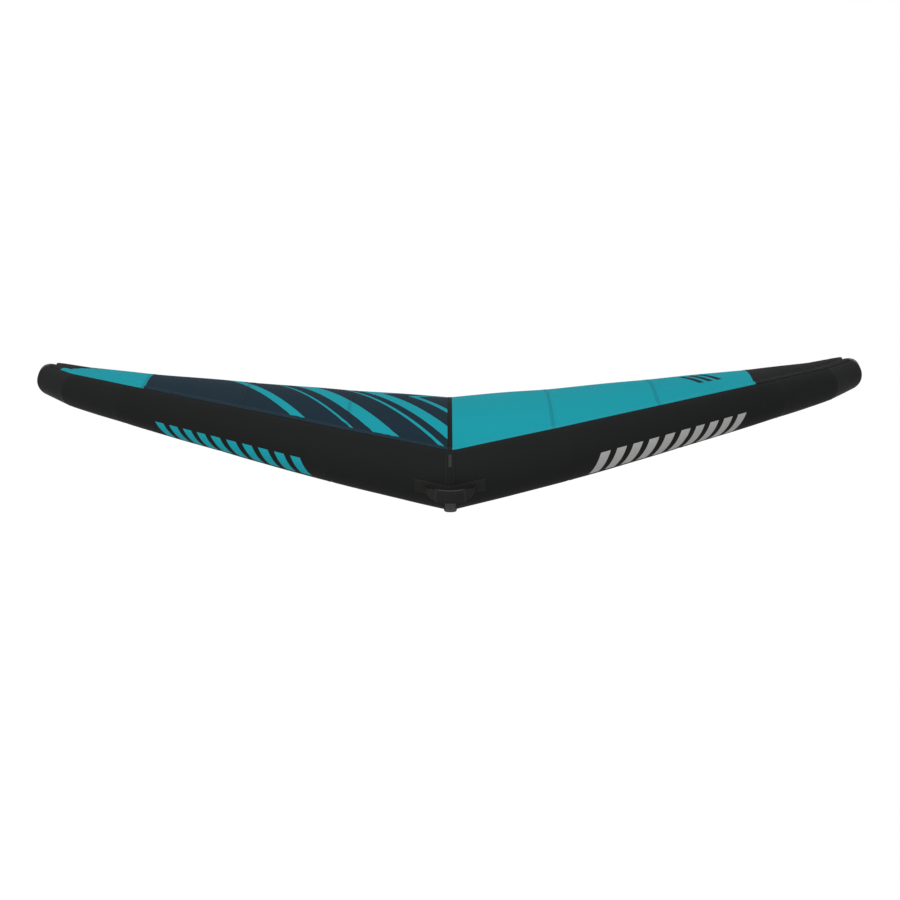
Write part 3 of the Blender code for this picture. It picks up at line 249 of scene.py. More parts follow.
light_sky()
lay_floor()
hang_lamp()
print("floor at", FLOOR_HEIGHT, "m, lamp of", LAMP_POWER, "W")

# %% [markdown]
# Nearly every piece of the wing is cloth laid on a curved surface. A flat grid is the
# cheapest start: its own square tells how far along and across each corner is, so the same
# two numbers place the corner in space and write its flat measures into the UV map. A
# subdivided box or a sculpt would give no such measures for weave and stitches to follow.

# %% Laying a grid on a surface
WELD = 0.00001


def mix(first, second, share):
    return first + (second - first) * share


def ease(share):
    """Runs from 0 to 1 with a gentle start and end."""
    share = min(1.0, max(0.0, share))
    return share * share * (3 - 2 * share)


def laid_grid(columns, rows, point_at, measure_at):
    """A grid whose corners are placed, and measured flat, by two shares from 0 to 1."""
    bm = bmesh.new()
    bmesh.ops.create_grid(bm, x_segments=columns, y_segments=rows, size=1)
    cut = bm.loops.layers.uv.new(CUT_MAP)
    shares = {vert: ((vert.co.x + 1) / 2, (vert.co.y + 1) / 2) for vert in bm.verts}
    for face in bm.faces:
        for loop in face.loops:
            loop[cut].uv = measure_at(*shares[loop.vert])
    for vert, (along, over) in shares.items():
        vert.co = point_at(along, over)
    bmesh.ops.remove_doubles(bm, verts=bm.verts, dist=WELD)
    return bm


def listed(places, share):
    """The place in an even list that a share of the grid stands for."""
    return places[round(share * (len(places) - 1))]


def spaced(marks, widest):
    """Places from the first mark to the last, through every mark, none further apart than widest."""
    places = [marks[0]]
    for start, end in zip(marks, marks[1:]):
        steps = max(1, math.ceil((end - start) / widest))
        places += [mix(start, end, step / steps) for step in range(1, steps + 1)]
    return places


def dress(name, bm, finish, slot, body, *nodes):
    """Turns a bmesh into a shown piece that stands for its CAD nodes."""
    bmesh.ops.recalc_face_normals(bm, faces=bm.faces)
    mesh = bpy.data.meshes.new(name)
    bm.to_mesh(mesh)
    bm.free()
    mesh.shade_smooth()
    mesh.materials.append(finish)
    piece = bpy.data.objects.new(name, mesh)
    bpy.context.scene.collection.objects.link(piece)
    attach(piece, body)
    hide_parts(*nodes)
    print(name, len(mesh.polygons), "faces, for", len(nodes), "nodes")
    return piece


def thicken(piece, wall, offset=0.0, rounding=0.0):
    """Gives a sheet its wall, and rounds its edges where it is thick enough to show."""
    made = piece.modifiers.new("wall", "SOLIDIFY")
    made.thickness, made.offset, made.use_even_offset = wall, offset, True
    if rounding:
        edge = piece.modifiers.new("rounded edge", "BEVEL")
        edge.width, edge.segments, edge.limit_method = rounding, 2, "ANGLE"
        edge.angle_limit = math.radians(40)
    return piece


def faces_towards(piece, direction):
    """1 if the sheet's faces mostly look along the direction, and -1 if against it."""
    total = sum(face.normal.dot(direction) * face.area for face in piece.data.polygons)
    return 1 if total > 0 else -1


# %% [markdown]
# The leading edge is sewn from straight cones of heavy woven cloth, mitred where they
# meet. Its rings are kept as shares of the whole size, as a sail plan keeps them, and each
# ring lies in the plane that halves the bend. Any point of the tube then follows from how
# far along it lies, counted in rings, and its angle from the top towards the back.

# %% The rings of the leading edge
NOSE = Vector((0, -0.56, 0.064555))
HALF_SPAN, SWEEP, RISE, TUBE_RADIUS = 1.518, 1.20, 0.330, 0.105
RING_SHARES = (
    (0.0, 0.0, 0.0, 1.0),
    (0.2566, 0.075, 0.252, 0.943),
    (0.5183, 0.225, 0.518, 0.819),
    (0.758, 0.433, 0.749, 0.688),
    (0.9022, 0.633, 0.877, 0.602),
    (0.9776, 0.817, 0.966, 0.545),
    (1.0, 1.0, 1.0, 0.410),
)
LAST_RING = len(RING_SHARES) - 1
SEWN_RINGS = (0, 1, 2, 3, 4)
CANOPY_SEAM_ANGLE = math.radians(26)


class Ring:
    """One ring of the right half, round a centre behind and above the nose."""

    def __init__(self, centre, before, after, radius):
        self.centre, self.radius = centre, radius
        self.along = (before + after).normalized()
        bend = after - before
        self.bend = bend.normalized() if bend.length > WELD else Vector((1, 0, 0))
        self.stretch = 1 / math.cos(before.angle(after) / 2)
        upright = Vector((0, 0, 1))
        self.up = (upright - upright.dot(self.along) * self.along).normalized()
        self.back = self.up.cross(self.along)

    def spoke(self, angle):
        spoke = self.up * math.cos(angle) + self.back * math.sin(angle)
        return spoke + spoke.dot(self.bend) * (self.stretch - 1) * self.bend

    def point(self, angle, lift=0.0):
        return self.centre + self.spoke(angle) * (self.radius + lift)


def make_rings():
    sizes = (HALF_SPAN, SWEEP, RISE, TUBE_RADIUS)
    rows = [[size * share for size, share in zip(sizes, shares)] for shares in RING_SHARES]
    centres = [Vector(row[:3]) for row in rows]
    runs = [(b - a).normalized() for a, b in zip(centres, centres[1:])]
    mirrored = Vector((runs[0].x, -runs[0].y, -runs[0].z))
    before, after = [mirrored] + runs, runs + [runs[-1]]
    return [Ring(c, b, a, row[3]) for c, b, a, row in zip(centres, before, after, rows)]


RINGS = make_rings()
PANEL_LENGTHS = [(b.centre - a.centre).length for a, b in zip(RINGS, RINGS[1:])]
RING_PLACES = [sum(PANEL_LENGTHS[:number]) for number in range(LAST_RING + 1)]


def tube_skin(run, angle, lift=0.0):
    """A point on the leading edge. A run beyond the last ring is on the rounded tip."""
    side, run = (-1 if run < 0 else 1), abs(run)
    if run > LAST_RING:
        tip, turn = RINGS[-1], (run - LAST_RING) * math.pi / 2
        reach = tip.radius + lift
        point = tip.centre + tip.spoke(angle) * reach * math.cos(turn) + tip.along * reach * math.sin(turn)
    else:
        first = min(int(run), LAST_RING - 1)
        point = mix(RINGS[first].point(angle, lift), RINGS[first + 1].point(angle, lift), run - first)
    return NOSE + Vector((side * point.x, point.y, point.z))


def run_at(across):
    """How far along the leading edge, in rings, its centre line is this far across."""
    side, across = (-1 if across < 0 else 1), abs(across)
    for number, (near, far) in enumerate(zip(RINGS, RINGS[1:])):
        if across <= far.centre.x or far is RINGS[-1]:
            return side * (number + (across - near.centre.x) / (far.centre.x - near.centre.x))


def tube_length(run):
    """Metres along the leading edge from the nose."""
    side, run = (-1 if run < 0 else 1), abs(run)
    first = min(int(run), LAST_RING - 1)
    if run > LAST_RING:
        return side * (RING_PLACES[-1] + (run - LAST_RING) * RINGS[-1].radius)
    return side * mix(RING_PLACES[first], RING_PLACES[first + 1], run - first)


print("leading edge", round(2 * RING_PLACES[-1], 3), "m between the last rings")

# %% [markdown]
# The sleeve cloth is a dense black weave with a dull face. Its weave is two sets of fine
# threads: a faint trace of them is in the relief, and their light and shade is painted into
# the colour, a little lighter on the raised threads. Its colour drifts a little, and it scuffs
# pale where it is dragged over sand. The places where a maker would print words carry plain
# slanted bars instead, teal on one half and grey on the other, drawn from the flat measures
# of the cloth.

# %% Sleeve cloth
BLACK = (0.0115, 0.0125, 0.0120)
TEAL = (0.0105, 0.300, 0.360)
NAVY = (0.0110, 0.0250, 0.0375)
PRINT_GREY = (0.36, 0.36, 0.355)
BAR_START, BAR_PITCH, BAR_COUNT = 0.594, 0.0631, 10
BAR_WIDTH_SHARE = 0.60
BAR_TOP, BAR_TOP_RISE, BAR_TOP_TILT, BAR_LOW = -0.193, 0.004, 0.010, -0.282
BAR_LEAN = 0.42
SLEEVE_WEAVE = 0.0011
SLEEVE_SHEEN, SLEEVE_SHEEN_SPREAD = 0.20, 0.15


def woven_relief(recipe, along, over, pitch):
    """The rise and fall of a plain weave."""
    waves = [recipe.calc("SINE", recipe.calc("MULTIPLY", value, 2 * math.pi / pitch)) for value in (along, over)]
    return recipe.calc("MULTIPLY", *waves)


def sleeve_cloth(name, printed):
    recipe = Recipe(name, 0.80, 0.05, SLEEVE_SHEEN)
    recipe.shader.inputs["Sheen Roughness"].default_value = SLEEVE_SHEEN_SPREAD
    along, over = recipe.flat_measures()
    weave = woven_relief(recipe, along, over, SLEEVE_WEAVE)
    drift = recipe.noise(2.5)
    scuffs = recipe.calc("MULTIPLY", recipe.noise(55, 6, (1, 3, 1)), recipe.noise(4))
    pale = recipe.spread(scuffs, 0.88, 1.16)
    colour = recipe.shaded(BLACK, recipe.calc("MULTIPLY", pale, recipe.spread(drift, 0.92, 1.08)))
    if printed:
        distance = recipe.calc("ABSOLUTE", along)
        leaning = recipe.calc("SUBTRACT", distance, recipe.calc("MULTIPLY", over, BAR_LEAN))
        top = recipe.calc("MULTIPLY_ADD", distance, BAR_TOP_RISE, recipe.calc("MULTIPLY_ADD", along, BAR_TOP_TILT, BAR_TOP))
        number = recipe.calc("DIVIDE", recipe.calc("SUBTRACT", leaning, BAR_START), BAR_PITCH)
        bar = recipe.calc("LESS_THAN", recipe.calc("FRACT", number), BAR_WIDTH_SHARE)
        in_run = recipe.between(number, 0.0, BAR_COUNT)
        in_band = recipe.between(over, BAR_LOW, top)
        print_mask = recipe.calc("MULTIPLY", bar, recipe.calc("MULTIPLY", in_run, in_band))
        ink = recipe.blend(recipe.calc("GREATER_THAN", along, 0.0), TEAL, PRINT_GREY)
        worn = recipe.shaded(ink, recipe.spread(recipe.noise(120, 4), 0.90, 1.06))
        colour = recipe.blend(print_mask, colour, worn)
    wrinkles = recipe.noise(22, 4, (1, 2.5, 1))
    # The weave's rise and fall is also painted into the colour: a painted highlight on the raised threads.
    colour = recipe.shaded(colour, recipe.spread(weave, 1.0, 1.10))
    relief = recipe.calc("ADD", recipe.calc("MULTIPLY", weave, 0.012), wrinkles)
    return recipe.done(colour, recipe.spread(scuffs, 0.72, 0.88), relief, 0.0016, 0.5)


PRINTED_SLEEVE = sleeve_cloth("printed sleeve cloth", True)
PLAIN_SLEEVE = sleeve_cloth("plain sleeve cloth", False)

# %% [markdown]
# Air pressure gives the sleeve its shape. Between two seams the cloth swells by about a
# millimetre and a half; at a seam the overlap of two layers stands up as a narrow band, and the
# inside of each bend gathers into small puckers that run out along the tube. A cloth
# simulation could find such folds, but not where a photograph shows them, so the lift of
# each point is worked out from its distance to the seams.

# %% How far the sleeve stands out from its ring
SWELL = 0.0014
SEAM_DIP = 0.0009
SEAM_DIP_REACH = 0.005
OVERLAP_WIDTH = 0.013
OVERLAP_RISE = 0.0004
PUCKER_RISE = 0.0013
PUCKER_REACH = 0.034
PUCKERS = 34
CALM_REACH = 0.06
SOFT_WAVE = 0.0009
PATCH_RADIUS = 0.046
PATCH_RISE = 0.0008
CANOPY_FRONT_ANGLE = math.radians(-20.5)
VALVE_ACROSS, HOSE_ACROSS = 0.20, -0.16
VALVE_SPOT = (tube_length(run_at(VALVE_ACROSS)), math.pi / 2)
HOSE_SPOT = (tube_length(run_at(HOSE_ACROSS)), math.pi / 2)


def nearest_seam(run):
    """The ring number of the nearest sewn seam and the distance past it, outwards."""
    place = abs(tube_length(run))
    number = min(SEWN_RINGS, key=lambda ring: abs(RING_PLACES[ring] - place))
    return number, place - RING_PLACES[number]


def patch_rise(run, angle):
    """The lift of the round patches under the valve and under the hose."""
    spots = [math.hypot(tube_length(run) - place, (angle - turn) * TUBE_RADIUS) for place, turn in (VALVE_SPOT, HOSE_SPOT)]
    return PATCH_RISE * ease((PATCH_RADIUS - min(spots)) / 0.003)


def covered(angle):
    """1 where the front of the canopy lies on the sleeve, and 0 away from it."""
    return ease((angle - CANOPY_FRONT_ANGLE + 0.07) / 0.07) * ease((CANOPY_SEAM_ANGLE + 0.14 - angle) / 0.07)


def sleeve_lift(run, angle):
    number, past = nearest_seam(run)
    distance = abs(past)
    inward = max(0.0, RINGS[number].spoke(angle).normalized().dot(RINGS[number].bend))
    crowd = 0.25 + 0.75 * inward
    phase = 2.1 * number + (1 if run > 0 else 0)
    turn = Vector((1.6 * math.cos(angle), 1.6 * math.sin(angle), 0))
    ripple = math.cos(PUCKERS * angle + phase) * (0.6 + 0.8 * noise.noise(turn + Vector((0, number, phase))))
    free = 1 - covered(angle)
    lift = SWELL * (1 - math.exp(-distance / CALM_REACH)) * (0.4 + 0.6 * free)
    lift += SOFT_WAVE * noise.noise(turn + Vector((7.7, 0, 6 * tube_length(run)))) * free
    lift -= SEAM_DIP * math.exp(-(distance / SEAM_DIP_REACH) ** 2) * free
    lift += PUCKER_RISE * crowd * ripple * math.exp(-distance / PUCKER_REACH) * ease(distance / 0.006) * free
    if number and 0 < past < OVERLAP_WIDTH:
        lift += OVERLAP_RISE * ease(min(past, OVERLAP_WIDTH - past) / 0.0015) * free
    return lift + patch_rise(run, angle)


def sleeve_runs(step):
    """Places along the whole leading edge, close together beside each sewn seam."""
    marks = []
    for ring in range(LAST_RING):
        length = PANEL_LENGTHS[ring]
        beside = (0.0, 0.0015, 0.004, OVERLAP_WIDTH - 0.0015, OVERLAP_WIDTH, 0.024, 0.045)
        marks += [ring + metres / length for metres in beside]
        marks += [ring + 1 - metres / length for metres in (0.045, 0.024, 0.010, 0.004, 0.0015)]
    half = spaced(sorted(marks) + [LAST_RING], step)
    dome = [LAST_RING + share / 16 for share in range(1, 17)]
    return [-run for run in reversed(half[1:] + dome)] + half + dome


print("sleeve swells", SWELL * 1000, "mm between seams, with", PUCKERS, "puckers round each")

# %% [markdown]
# With the lift known, the sleeve is one grid rolled round the tube: its long sides meet
# along the lowest line and its ends close to a point at each rounded tip. One piece for all
# the panels keeps the shading whole across the seams; ten separate ones would show cracks.

# %% Leading edge sleeve and its bladder
SLEEVE_SIDES = 104
SLEEVE_NODES = [f"leading_edge_panel_{n}_{side}" for side in ("right", "left") for n in range(1, 5)]
SLEEVE_NODES += ["leading_edge_tip_right", "leading_edge_tip_left"]


def rolled(runs, sides, lift_at):
    """A grid round the tube. On the rounded tips the lift evens out, so that all sides meet in one point."""

    def point_at(along, over):
        run, angle = listed(runs, along), math.pi * (2 * (over % 1.0) - 1)
        lift = mix(lift_at(run, angle), lift_at(run, 0.0), max(0.0, abs(run) - LAST_RING))
        return tube_skin(run, angle, lift)

    def measure_at(along, over):
        return tube_length(listed(runs, along)), math.pi * (2 * over - 1) * TUBE_RADIUS

    return laid_grid(len(runs) - 1, sides, point_at, measure_at)


sleeve = dress("leading_edge_sleeve", rolled(sleeve_runs(0.045), SLEEVE_SIDES, sleeve_lift),
               PRINTED_SLEEVE, "sleeve_cloth", "airframe", *SLEEVE_NODES)

# %% [markdown]
# The bladder is the thin film tube that holds the air inside the sleeve. Nobody sees it
# through the cloth, yet it is a soft piece, so it gets its own milky film and the same
# inflated form, drawn in a little.

# %% Bladder film
FILM = (0.58, 0.62, 0.64)
BLADDER_INSET = 0.0045


def film():
    recipe = Recipe("bladder film", 0.28, 0.5)
    cloudy = recipe.noise(14, 5)
    colour = recipe.shaded(FILM, recipe.spread(cloudy, 0.9, 1.08))
    return recipe.done(colour, recipe.spread(cloudy, 0.2, 0.4), recipe.noise(40, 3), 0.001, 0.3)


FILM_FINISH = film()
dress("leading_edge_air_tube", rolled(sleeve_runs(0.15), 36, lambda run, angle: sleeve_lift(run, angle) - BLADDER_INSET),
      FILM_FINISH, "bladder_film", "airframe", "leading_edge_bladder")

# %% [markdown]
# The canopy is light ripstop: a thin woven sheet with a grid of stronger threads every few
# millimetres, sewn from chordwise panels in teal, navy and black. The same recipe serves
# all three colours. Its seams are darker bands with a pale zigzag, and the print is made of
# straight-sided chevrons, because a procedural mask stays sharp at any distance.

# %% Canopy cloth
CANOPY_HALF_SPAN = 1.523
SEAM_SHARES = (0.0, 0.2366, 0.484, 0.724)
TIP_SHARE = 0.980
SEAM_HALF_WIDTH = 0.0060
CENTRE_STRIP = 0.0085
RIPSTOP_PITCH = 0.005
RIPSTOP_THREAD = 0.0007
ZIGZAG_PITCH = 0.006
ZIGZAG_THREAD = 0.0006
FRONT_CLOTH = 0.070
FRONT_STITCH_INSET = 0.007
CHEVRON_POINT = 0.46
CHEVRON_LEAN = 0.80
CHEVRON_LIMIT = 1.02
CHEVRON_FRONT, CHEVRON_BACK = 0.014, 1.45
CHEVRONS = ((0.12, 0.152), (0.25, 0.325), (0.375, 0.393), (0.53, 0.622), (0.69, 0.708), (0.86, 0.915))
CHEVRON_SPAN = 1.25
MARK_START, MARK_PITCH, MARK_COUNT = 0.945, 0.034, 3
MARK_LEAN, MARK_WIDTH_SHARE = 0.35, 0.58
MARK_BACK = (0.115, 0.285)
TIP_BLACK_ACROSS, TIP_BLACK_ROOM, TIP_BLACK_BACK, TIP_BLACK_BEND = 1.44, 0.175, 0.20, 0.8


def zigzag(recipe, offset, along):
    """A sewn zigzag beside a line, from the distance to the line and the way along it."""
    swing = recipe.calc("PINGPONG", along, ZIGZAG_PITCH / 2)
    return recipe.between(recipe.calc("SUBTRACT", offset, swing), -ZIGZAG_THREAD / 2 + 0.0012, ZIGZAG_THREAD / 2 + 0.0012)


def canopy_cloth(name, colour, artwork=None):
    recipe = Recipe(name, 0.80, 0.03)
    across, back = recipe.flat_measures()
    distance = recipe.calc("ABSOLUTE", across)
    offset = recipe.calc("ABSOLUTE", recipe.calc("SUBTRACT", distance, SEAM_SHARES[0]))
    for share in SEAM_SHARES[1:]:
        other = recipe.calc("ABSOLUTE", recipe.calc("SUBTRACT", distance, share * CANOPY_HALF_SPAN))
        offset = recipe.calc("MINIMUM", offset, other)
    seam = recipe.calc("LESS_THAN", offset, SEAM_HALF_WIDTH)
    ripstop = recipe.any_of(*(recipe.threads(value, RIPSTOP_PITCH, RIPSTOP_THREAD) for value in (across, back)))
    drift = recipe.spread(recipe.noise(1.7), 0.95, 1.05)
    shade = recipe.calc("MULTIPLY", drift, recipe.spread(ripstop, 1.0, 0.94))
    shade = recipe.calc("MULTIPLY", shade, recipe.spread(seam, 1.0, 0.80))
    ground = artwork(recipe, colour, across, back) if artwork else colour
    ground = recipe.blend(recipe.calc("LESS_THAN", distance, CENTRE_STRIP), ground, BLACK)
    tinted = recipe.shaded(ground, shade)
    on_front = recipe.calc("ABSOLUTE", recipe.calc("ADD", back, FRONT_CLOTH - FRONT_STITCH_INSET))
    thread = recipe.any_of(zigzag(recipe, offset, back), zigzag(recipe, on_front, across))
    tinted = recipe.blend(recipe.calc("MULTIPLY", thread, 0.2), tinted, (0.16, 0.18, 0.19))
    creases = recipe.noise(9, 5, (1, 0.35, 1))
    relief = recipe.calc("ADD", recipe.calc("MULTIPLY", ripstop, 0.05), recipe.calc("MULTIPLY", creases, 0.8))
    relief = recipe.calc("ADD", relief, recipe.calc("MULTIPLY", recipe.any_of(seam, thread), 0.15))
    return recipe.done(tinted, recipe.spread(creases, 0.70, 0.86), relief, 0.0022, 0.5)


def chevrons(recipe, colour, across, back):
    """Teal chevrons of several widths that point to the wing tip."""
    bent = recipe.calc("ABSOLUTE", recipe.calc("SUBTRACT", back, CHEVRON_POINT))
    reach = recipe.calc("ADD", recipe.calc("ABSOLUTE", across), recipe.calc("MULTIPLY", bent, CHEVRON_LEAN))
    ramp = recipe.node("ValToRGB", {0: recipe.calc("DIVIDE", reach, CHEVRON_SPAN)})
    ramp.color_ramp.interpolation = "CONSTANT"
    steps = ramp.color_ramp.elements
    steps[0].color, steps[1].color = (0, 0, 0, 1), (0, 0, 0, 1)
    steps[1].position = 1.0
    for start, end in CHEVRONS:
        steps.new(start / CHEVRON_SPAN).color = WHITE
        steps.new(end / CHEVRON_SPAN).color = (0, 0, 0, 1)
    inside = recipe.calc("LESS_THAN", recipe.calc("ABSOLUTE", across), CHEVRON_LIMIT)
    inside = recipe.calc("MULTIPLY", inside, recipe.between(back, CHEVRON_FRONT, CHEVRON_BACK))
    return recipe.blend(recipe.calc("MULTIPLY", ramp.outputs[0], inside), colour, TEAL)


def tip_and_mark(recipe, colour, across, back):
    """Black behind a curved line at the left tip, and three short dark bars near the right one."""
    inwards = recipe.calc("DIVIDE", recipe.calc("ADD", across, TIP_BLACK_ACROSS), TIP_BLACK_ROOM)
    rise = recipe.calc("POWER", recipe.calc("MAXIMUM", inwards, 0.0), TIP_BLACK_BEND)
    line = recipe.calc("MULTIPLY_ADD", rise, FRONT_CLOTH + TIP_BLACK_BACK, -FRONT_CLOTH)
    dark = recipe.any_of(recipe.calc("GREATER_THAN", back, line), recipe.calc("LESS_THAN", inwards, 0.0))
    dark = recipe.calc("MULTIPLY", dark, recipe.calc("LESS_THAN", across, 0.0))
    colour = recipe.blend(dark, colour, BLACK)
    leaning = recipe.calc("ADD", across, recipe.calc("MULTIPLY", back, MARK_LEAN))
    number = recipe.calc("DIVIDE", recipe.calc("SUBTRACT", leaning, MARK_START), MARK_PITCH)
    bar = recipe.calc("LESS_THAN", recipe.calc("FRACT", number), MARK_WIDTH_SHARE)
    inside = recipe.calc("MULTIPLY", recipe.between(number, 0.0, MARK_COUNT), recipe.between(back, *MARK_BACK))
    return recipe.blend(recipe.calc("MULTIPLY", bar, inside), colour, NAVY)


TEAL_CANOPY = canopy_cloth("teal canopy cloth", TEAL, tip_and_mark)
NAVY_CANOPY = canopy_cloth("navy canopy cloth", NAVY, chevrons)
BLACK_CANOPY = canopy_cloth("black canopy cloth", BLACK)

# %% [markdown]
# The canopy is a cambered sheet between the seam on the leading edge and the trailing edge.
# It is one continuous grid from tip to tip, since separate flat panels would break the
# curve at every seam. Its columns pass through each seam, where the doubled cloth stands
# up a little; between the seams it bellies, and at the leading edge it gathers in fine
# puckers. Straight columns would miss that the seams lean to the middle towards the back.

# %% The canopy's surface
CHORD, EDGE_TAPER, EDGE_TAPER_POWER = 2.10, 0.74, 1.08
EDGE_HEIGHT, EDGE_RISE, EDGE_RISE_POWER = 0.080, 0.245, 1.6
CAMBER, CAMBER_LOSS, CAMBER_LOSS_POWER, CREST = 0.162, 0.9, 1.1, 0.28
SEAM_SLANT = 0.08
CANOPY_LIFT = 0.0004
BELLY = 0.0022
SEAM_RISE = 0.0006
FRONT_LIFT, FRONT_SETTLE = 0.0009, 0.030
TAPE_HUMP = 0.0010
GATHER_RISE, GATHER_REACH, GATHER_PITCH = 0.0016, 0.055, 0.036
HEM_WIDTH = 0.022


def on_tube(across, angle):
    """A point of the right half at this angle and this far across, and how far along it is, in rings."""
    points = [ring.point(angle, CANOPY_LIFT) for ring in RINGS]
    for number, (near, far) in enumerate(zip(points, points[1:])):
        if across <= far.x or far is points[-1]:
            share = (across - near.x) / (far.x - near.x)
            return mix(near, far, share), number + share


def seam_spot(across):
    """Where the canopy leaves the leading edge, for the right half."""
    return on_tube(across, CANOPY_SEAM_ANGLE)[0]


def edge_spot(across):
    share = across / CANOPY_HALF_SPAN
    return Vector((across, CHORD - EDGE_TAPER * share ** EDGE_TAPER_POWER, EDGE_HEIGHT + EDGE_RISE * share ** EDGE_RISE_POWER))


def camber_share(share):
    if share < CREST:
        return share * (2 * CREST - share) / CREST ** 2
    return (1 - 2 * CREST + share * (2 * CREST - share)) / (1 - CREST) ** 2


def canopy_spot(across, share, lift=0.0):
    """A point of the canopy, from its front seam at share 0 to its trailing edge at share 1."""
    side, across = (-1 if across < 0 else 1), abs(across)
    span = across / CANOPY_HALF_SPAN
    rear = edge_spot(across - SEAM_SLANT * math.sin(math.pi * span))
    point = mix(seam_spot(across), rear, share)
    height = CAMBER * (1 - CAMBER_LOSS * span ** CAMBER_LOSS_POWER) * camber_share(share)
    return NOSE + Vector((side * point.x, point.y, point.z + height + lift))


def chord_at(across):
    return (canopy_spot(across, 1) - canopy_spot(across, 0)).length


def front_lift(across, angle):
    """How far the front of the canopy stands off the bare ring, over the sleeve and the nose tape."""
    run = on_tube(abs(across), angle)[1]
    hump = TAPE_HUMP * ease((0.021 - abs(across)) / 0.004)
    return sleeve_lift(run if across > 0 else -run, angle) + FRONT_LIFT + hump - CANOPY_LIFT


def canopy_front(across, turn):
    """A point of the cloth that lies on the leading edge, from its front edge at 0 to where it leaves at 1."""
    angle = mix(CANOPY_FRONT_ANGLE, CANOPY_SEAM_ANGLE, turn)
    run = on_tube(abs(across), angle)[1]
    return tube_skin(-run if across < 0 else run, angle, front_lift(across, angle) + CANOPY_LIFT)


def canopy_relief(across, share):
    """How far the cloth bellies, gathers and rises over its seams."""
    distance = abs(across)
    marks = [place * CANOPY_HALF_SPAN for place in SEAM_SHARES + (TIP_SHARE,)]
    back = share * chord_at(across)
    rise = 0.0
    for low, high in zip(marks, marks[1:]):
        if low <= distance <= high:
            rise = BELLY * math.sin(math.pi * (distance - low) / (high - low)) * math.sin(math.pi * share ** 0.8)
    from_seam = min(abs(distance - mark) for mark in marks[:-1])
    rise += SEAM_RISE * ease((SEAM_HALF_WIDTH + 0.001 - from_seam) / 0.001)
    gather = math.cos(2 * math.pi * across / GATHER_PITCH + 2 * noise.noise(Vector((9 * across, 0, 0))))
    rise += GATHER_RISE * gather * math.exp(-back / GATHER_REACH) * ease(back / 0.012)
    rise += 0.0016 * noise.noise(Vector((5 * across, 2.2 * back, 1.3))) * ease(back / 0.05)
    return rise * ease((1 - share) / 0.02) + front_lift(across, CANOPY_SEAM_ANGLE) * math.exp(-back / FRONT_SETTLE)


def canopy_columns(widest):
    marks = []
    for share in SEAM_SHARES[1:]:
        for step in (-SEAM_HALF_WIDTH - 0.001, -SEAM_HALF_WIDTH, SEAM_HALF_WIDTH, SEAM_HALF_WIDTH + 0.001):
            marks.append(share * CANOPY_HALF_SPAN + step)
    marks += [ring.point(CANOPY_SEAM_ANGLE).x for ring in RINGS[1:LAST_RING]]
    half = sorted([0.0, 0.006, 0.007, 0.017, 0.019, 0.021] + marks + [TIP_SHARE * CANOPY_HALF_SPAN])
    half = spaced(half, widest)
    return [-place for place in reversed(half[1:])] + half


print("chord", round(chord_at(0), 3), "m at the middle and", round(chord_at(1.4), 3), "m near the tip")

# %% [markdown]
# Which colour a face takes follows from the panel that it lies in. A finish per panel keeps
# the borders exactly on the sewn lines.

# %% Canopy
CANOPY_ROWS = 84
FRONT_ROWS = 14
ROW_POWER = 1.25
CANOPY_WALL = 0.0006
BLACK_FROM = SEAM_SHARES[-1] * CANOPY_HALF_SPAN
CANOPY_NODES = [f"canopy_panel_{n}_{side}" for side in ("right", "left") for n in (1, 2, 3)]
CANOPY_NODES += ["canopy_tip_right", "canopy_tip_left"]


def hem_share(across):
    return 1 - HEM_WIDTH / chord_at(across)


def make_canopy():
    columns = canopy_columns(0.014)

    def row_at(over):
        """Negative rows lie on the leading edge."""
        return round(over * (FRONT_ROWS + CANOPY_ROWS)) - FRONT_ROWS

    def point_at(along, over):
        across, row = listed(columns, along), row_at(over)
        if row < 0:
            return canopy_front(across, 1 + row / FRONT_ROWS)
        share = (row / CANOPY_ROWS) ** ROW_POWER * hem_share(across)
        return canopy_spot(across, share, canopy_relief(across, share))

    def measure_at(along, over):
        across, row = listed(columns, along), row_at(over)
        if row < 0:
            return across, FRONT_CLOTH * row / FRONT_ROWS
        return across, (row / CANOPY_ROWS) ** ROW_POWER * hem_share(across) * chord_at(across)

    bm = laid_grid(len(columns) - 1, FRONT_ROWS + CANOPY_ROWS, point_at, measure_at)
    cut = bm.loops.layers.uv[CUT_MAP]
    for face in bm.faces:
        across = sum(loop[cut].uv.x for loop in face.loops) / len(face.loops)
        outer = abs(across) > BLACK_FROM
        if across > 0:
            face.material_index = 2 if outer else 0
        else:
            face.material_index = 0 if outer else 1
    canopy = dress("canopy", bm, TEAL_CANOPY, None, "airframe", *CANOPY_NODES)
    canopy.data.materials.append(NAVY_CANOPY)
    canopy.data.materials.append(BLACK_CANOPY)
    return thicken(canopy, CANOPY_WALL)


canopy = make_canopy()

# %% [markdown]
# Black tape finishes the wing: hems, pockets, the strut's web and the cover of the nose
# seam. It is a tighter, duller cloth, with one row of stitches near each edge. Its flat
# width differs from strip to strip, so the recipe is told how wide the strip is.

# %% Tape cloth and webbing
STITCH_LENGTH = 0.0032
STITCH_WIDTH = 0.0006
STITCH_INSET = 0.003
THREAD_GREY = (0.045, 0.046, 0.046)
# The nose seam tape is a paler grey on its lower end, from its start under the nose up to this angle.
PALE_FACING_GREY = (0.052, 0.052, 0.051)
PALE_FACING_ANGLE = math.radians(-122)


def stitches(recipe, along, over, width, inset=STITCH_INSET):
    """Straight stitches along both long edges of a strip of this width."""
    from_edge = recipe.calc("SUBTRACT", width / 2, recipe.calc("ABSOLUTE", over))
    row = recipe.between(from_edge, inset - STITCH_WIDTH / 2, inset + STITCH_WIDTH / 2)
    dash = recipe.calc("LESS_THAN", recipe.calc("FRACT", recipe.calc("DIVIDE", along, STITCH_LENGTH)), 0.72)
    return recipe.calc("MULTIPLY", row, dash)


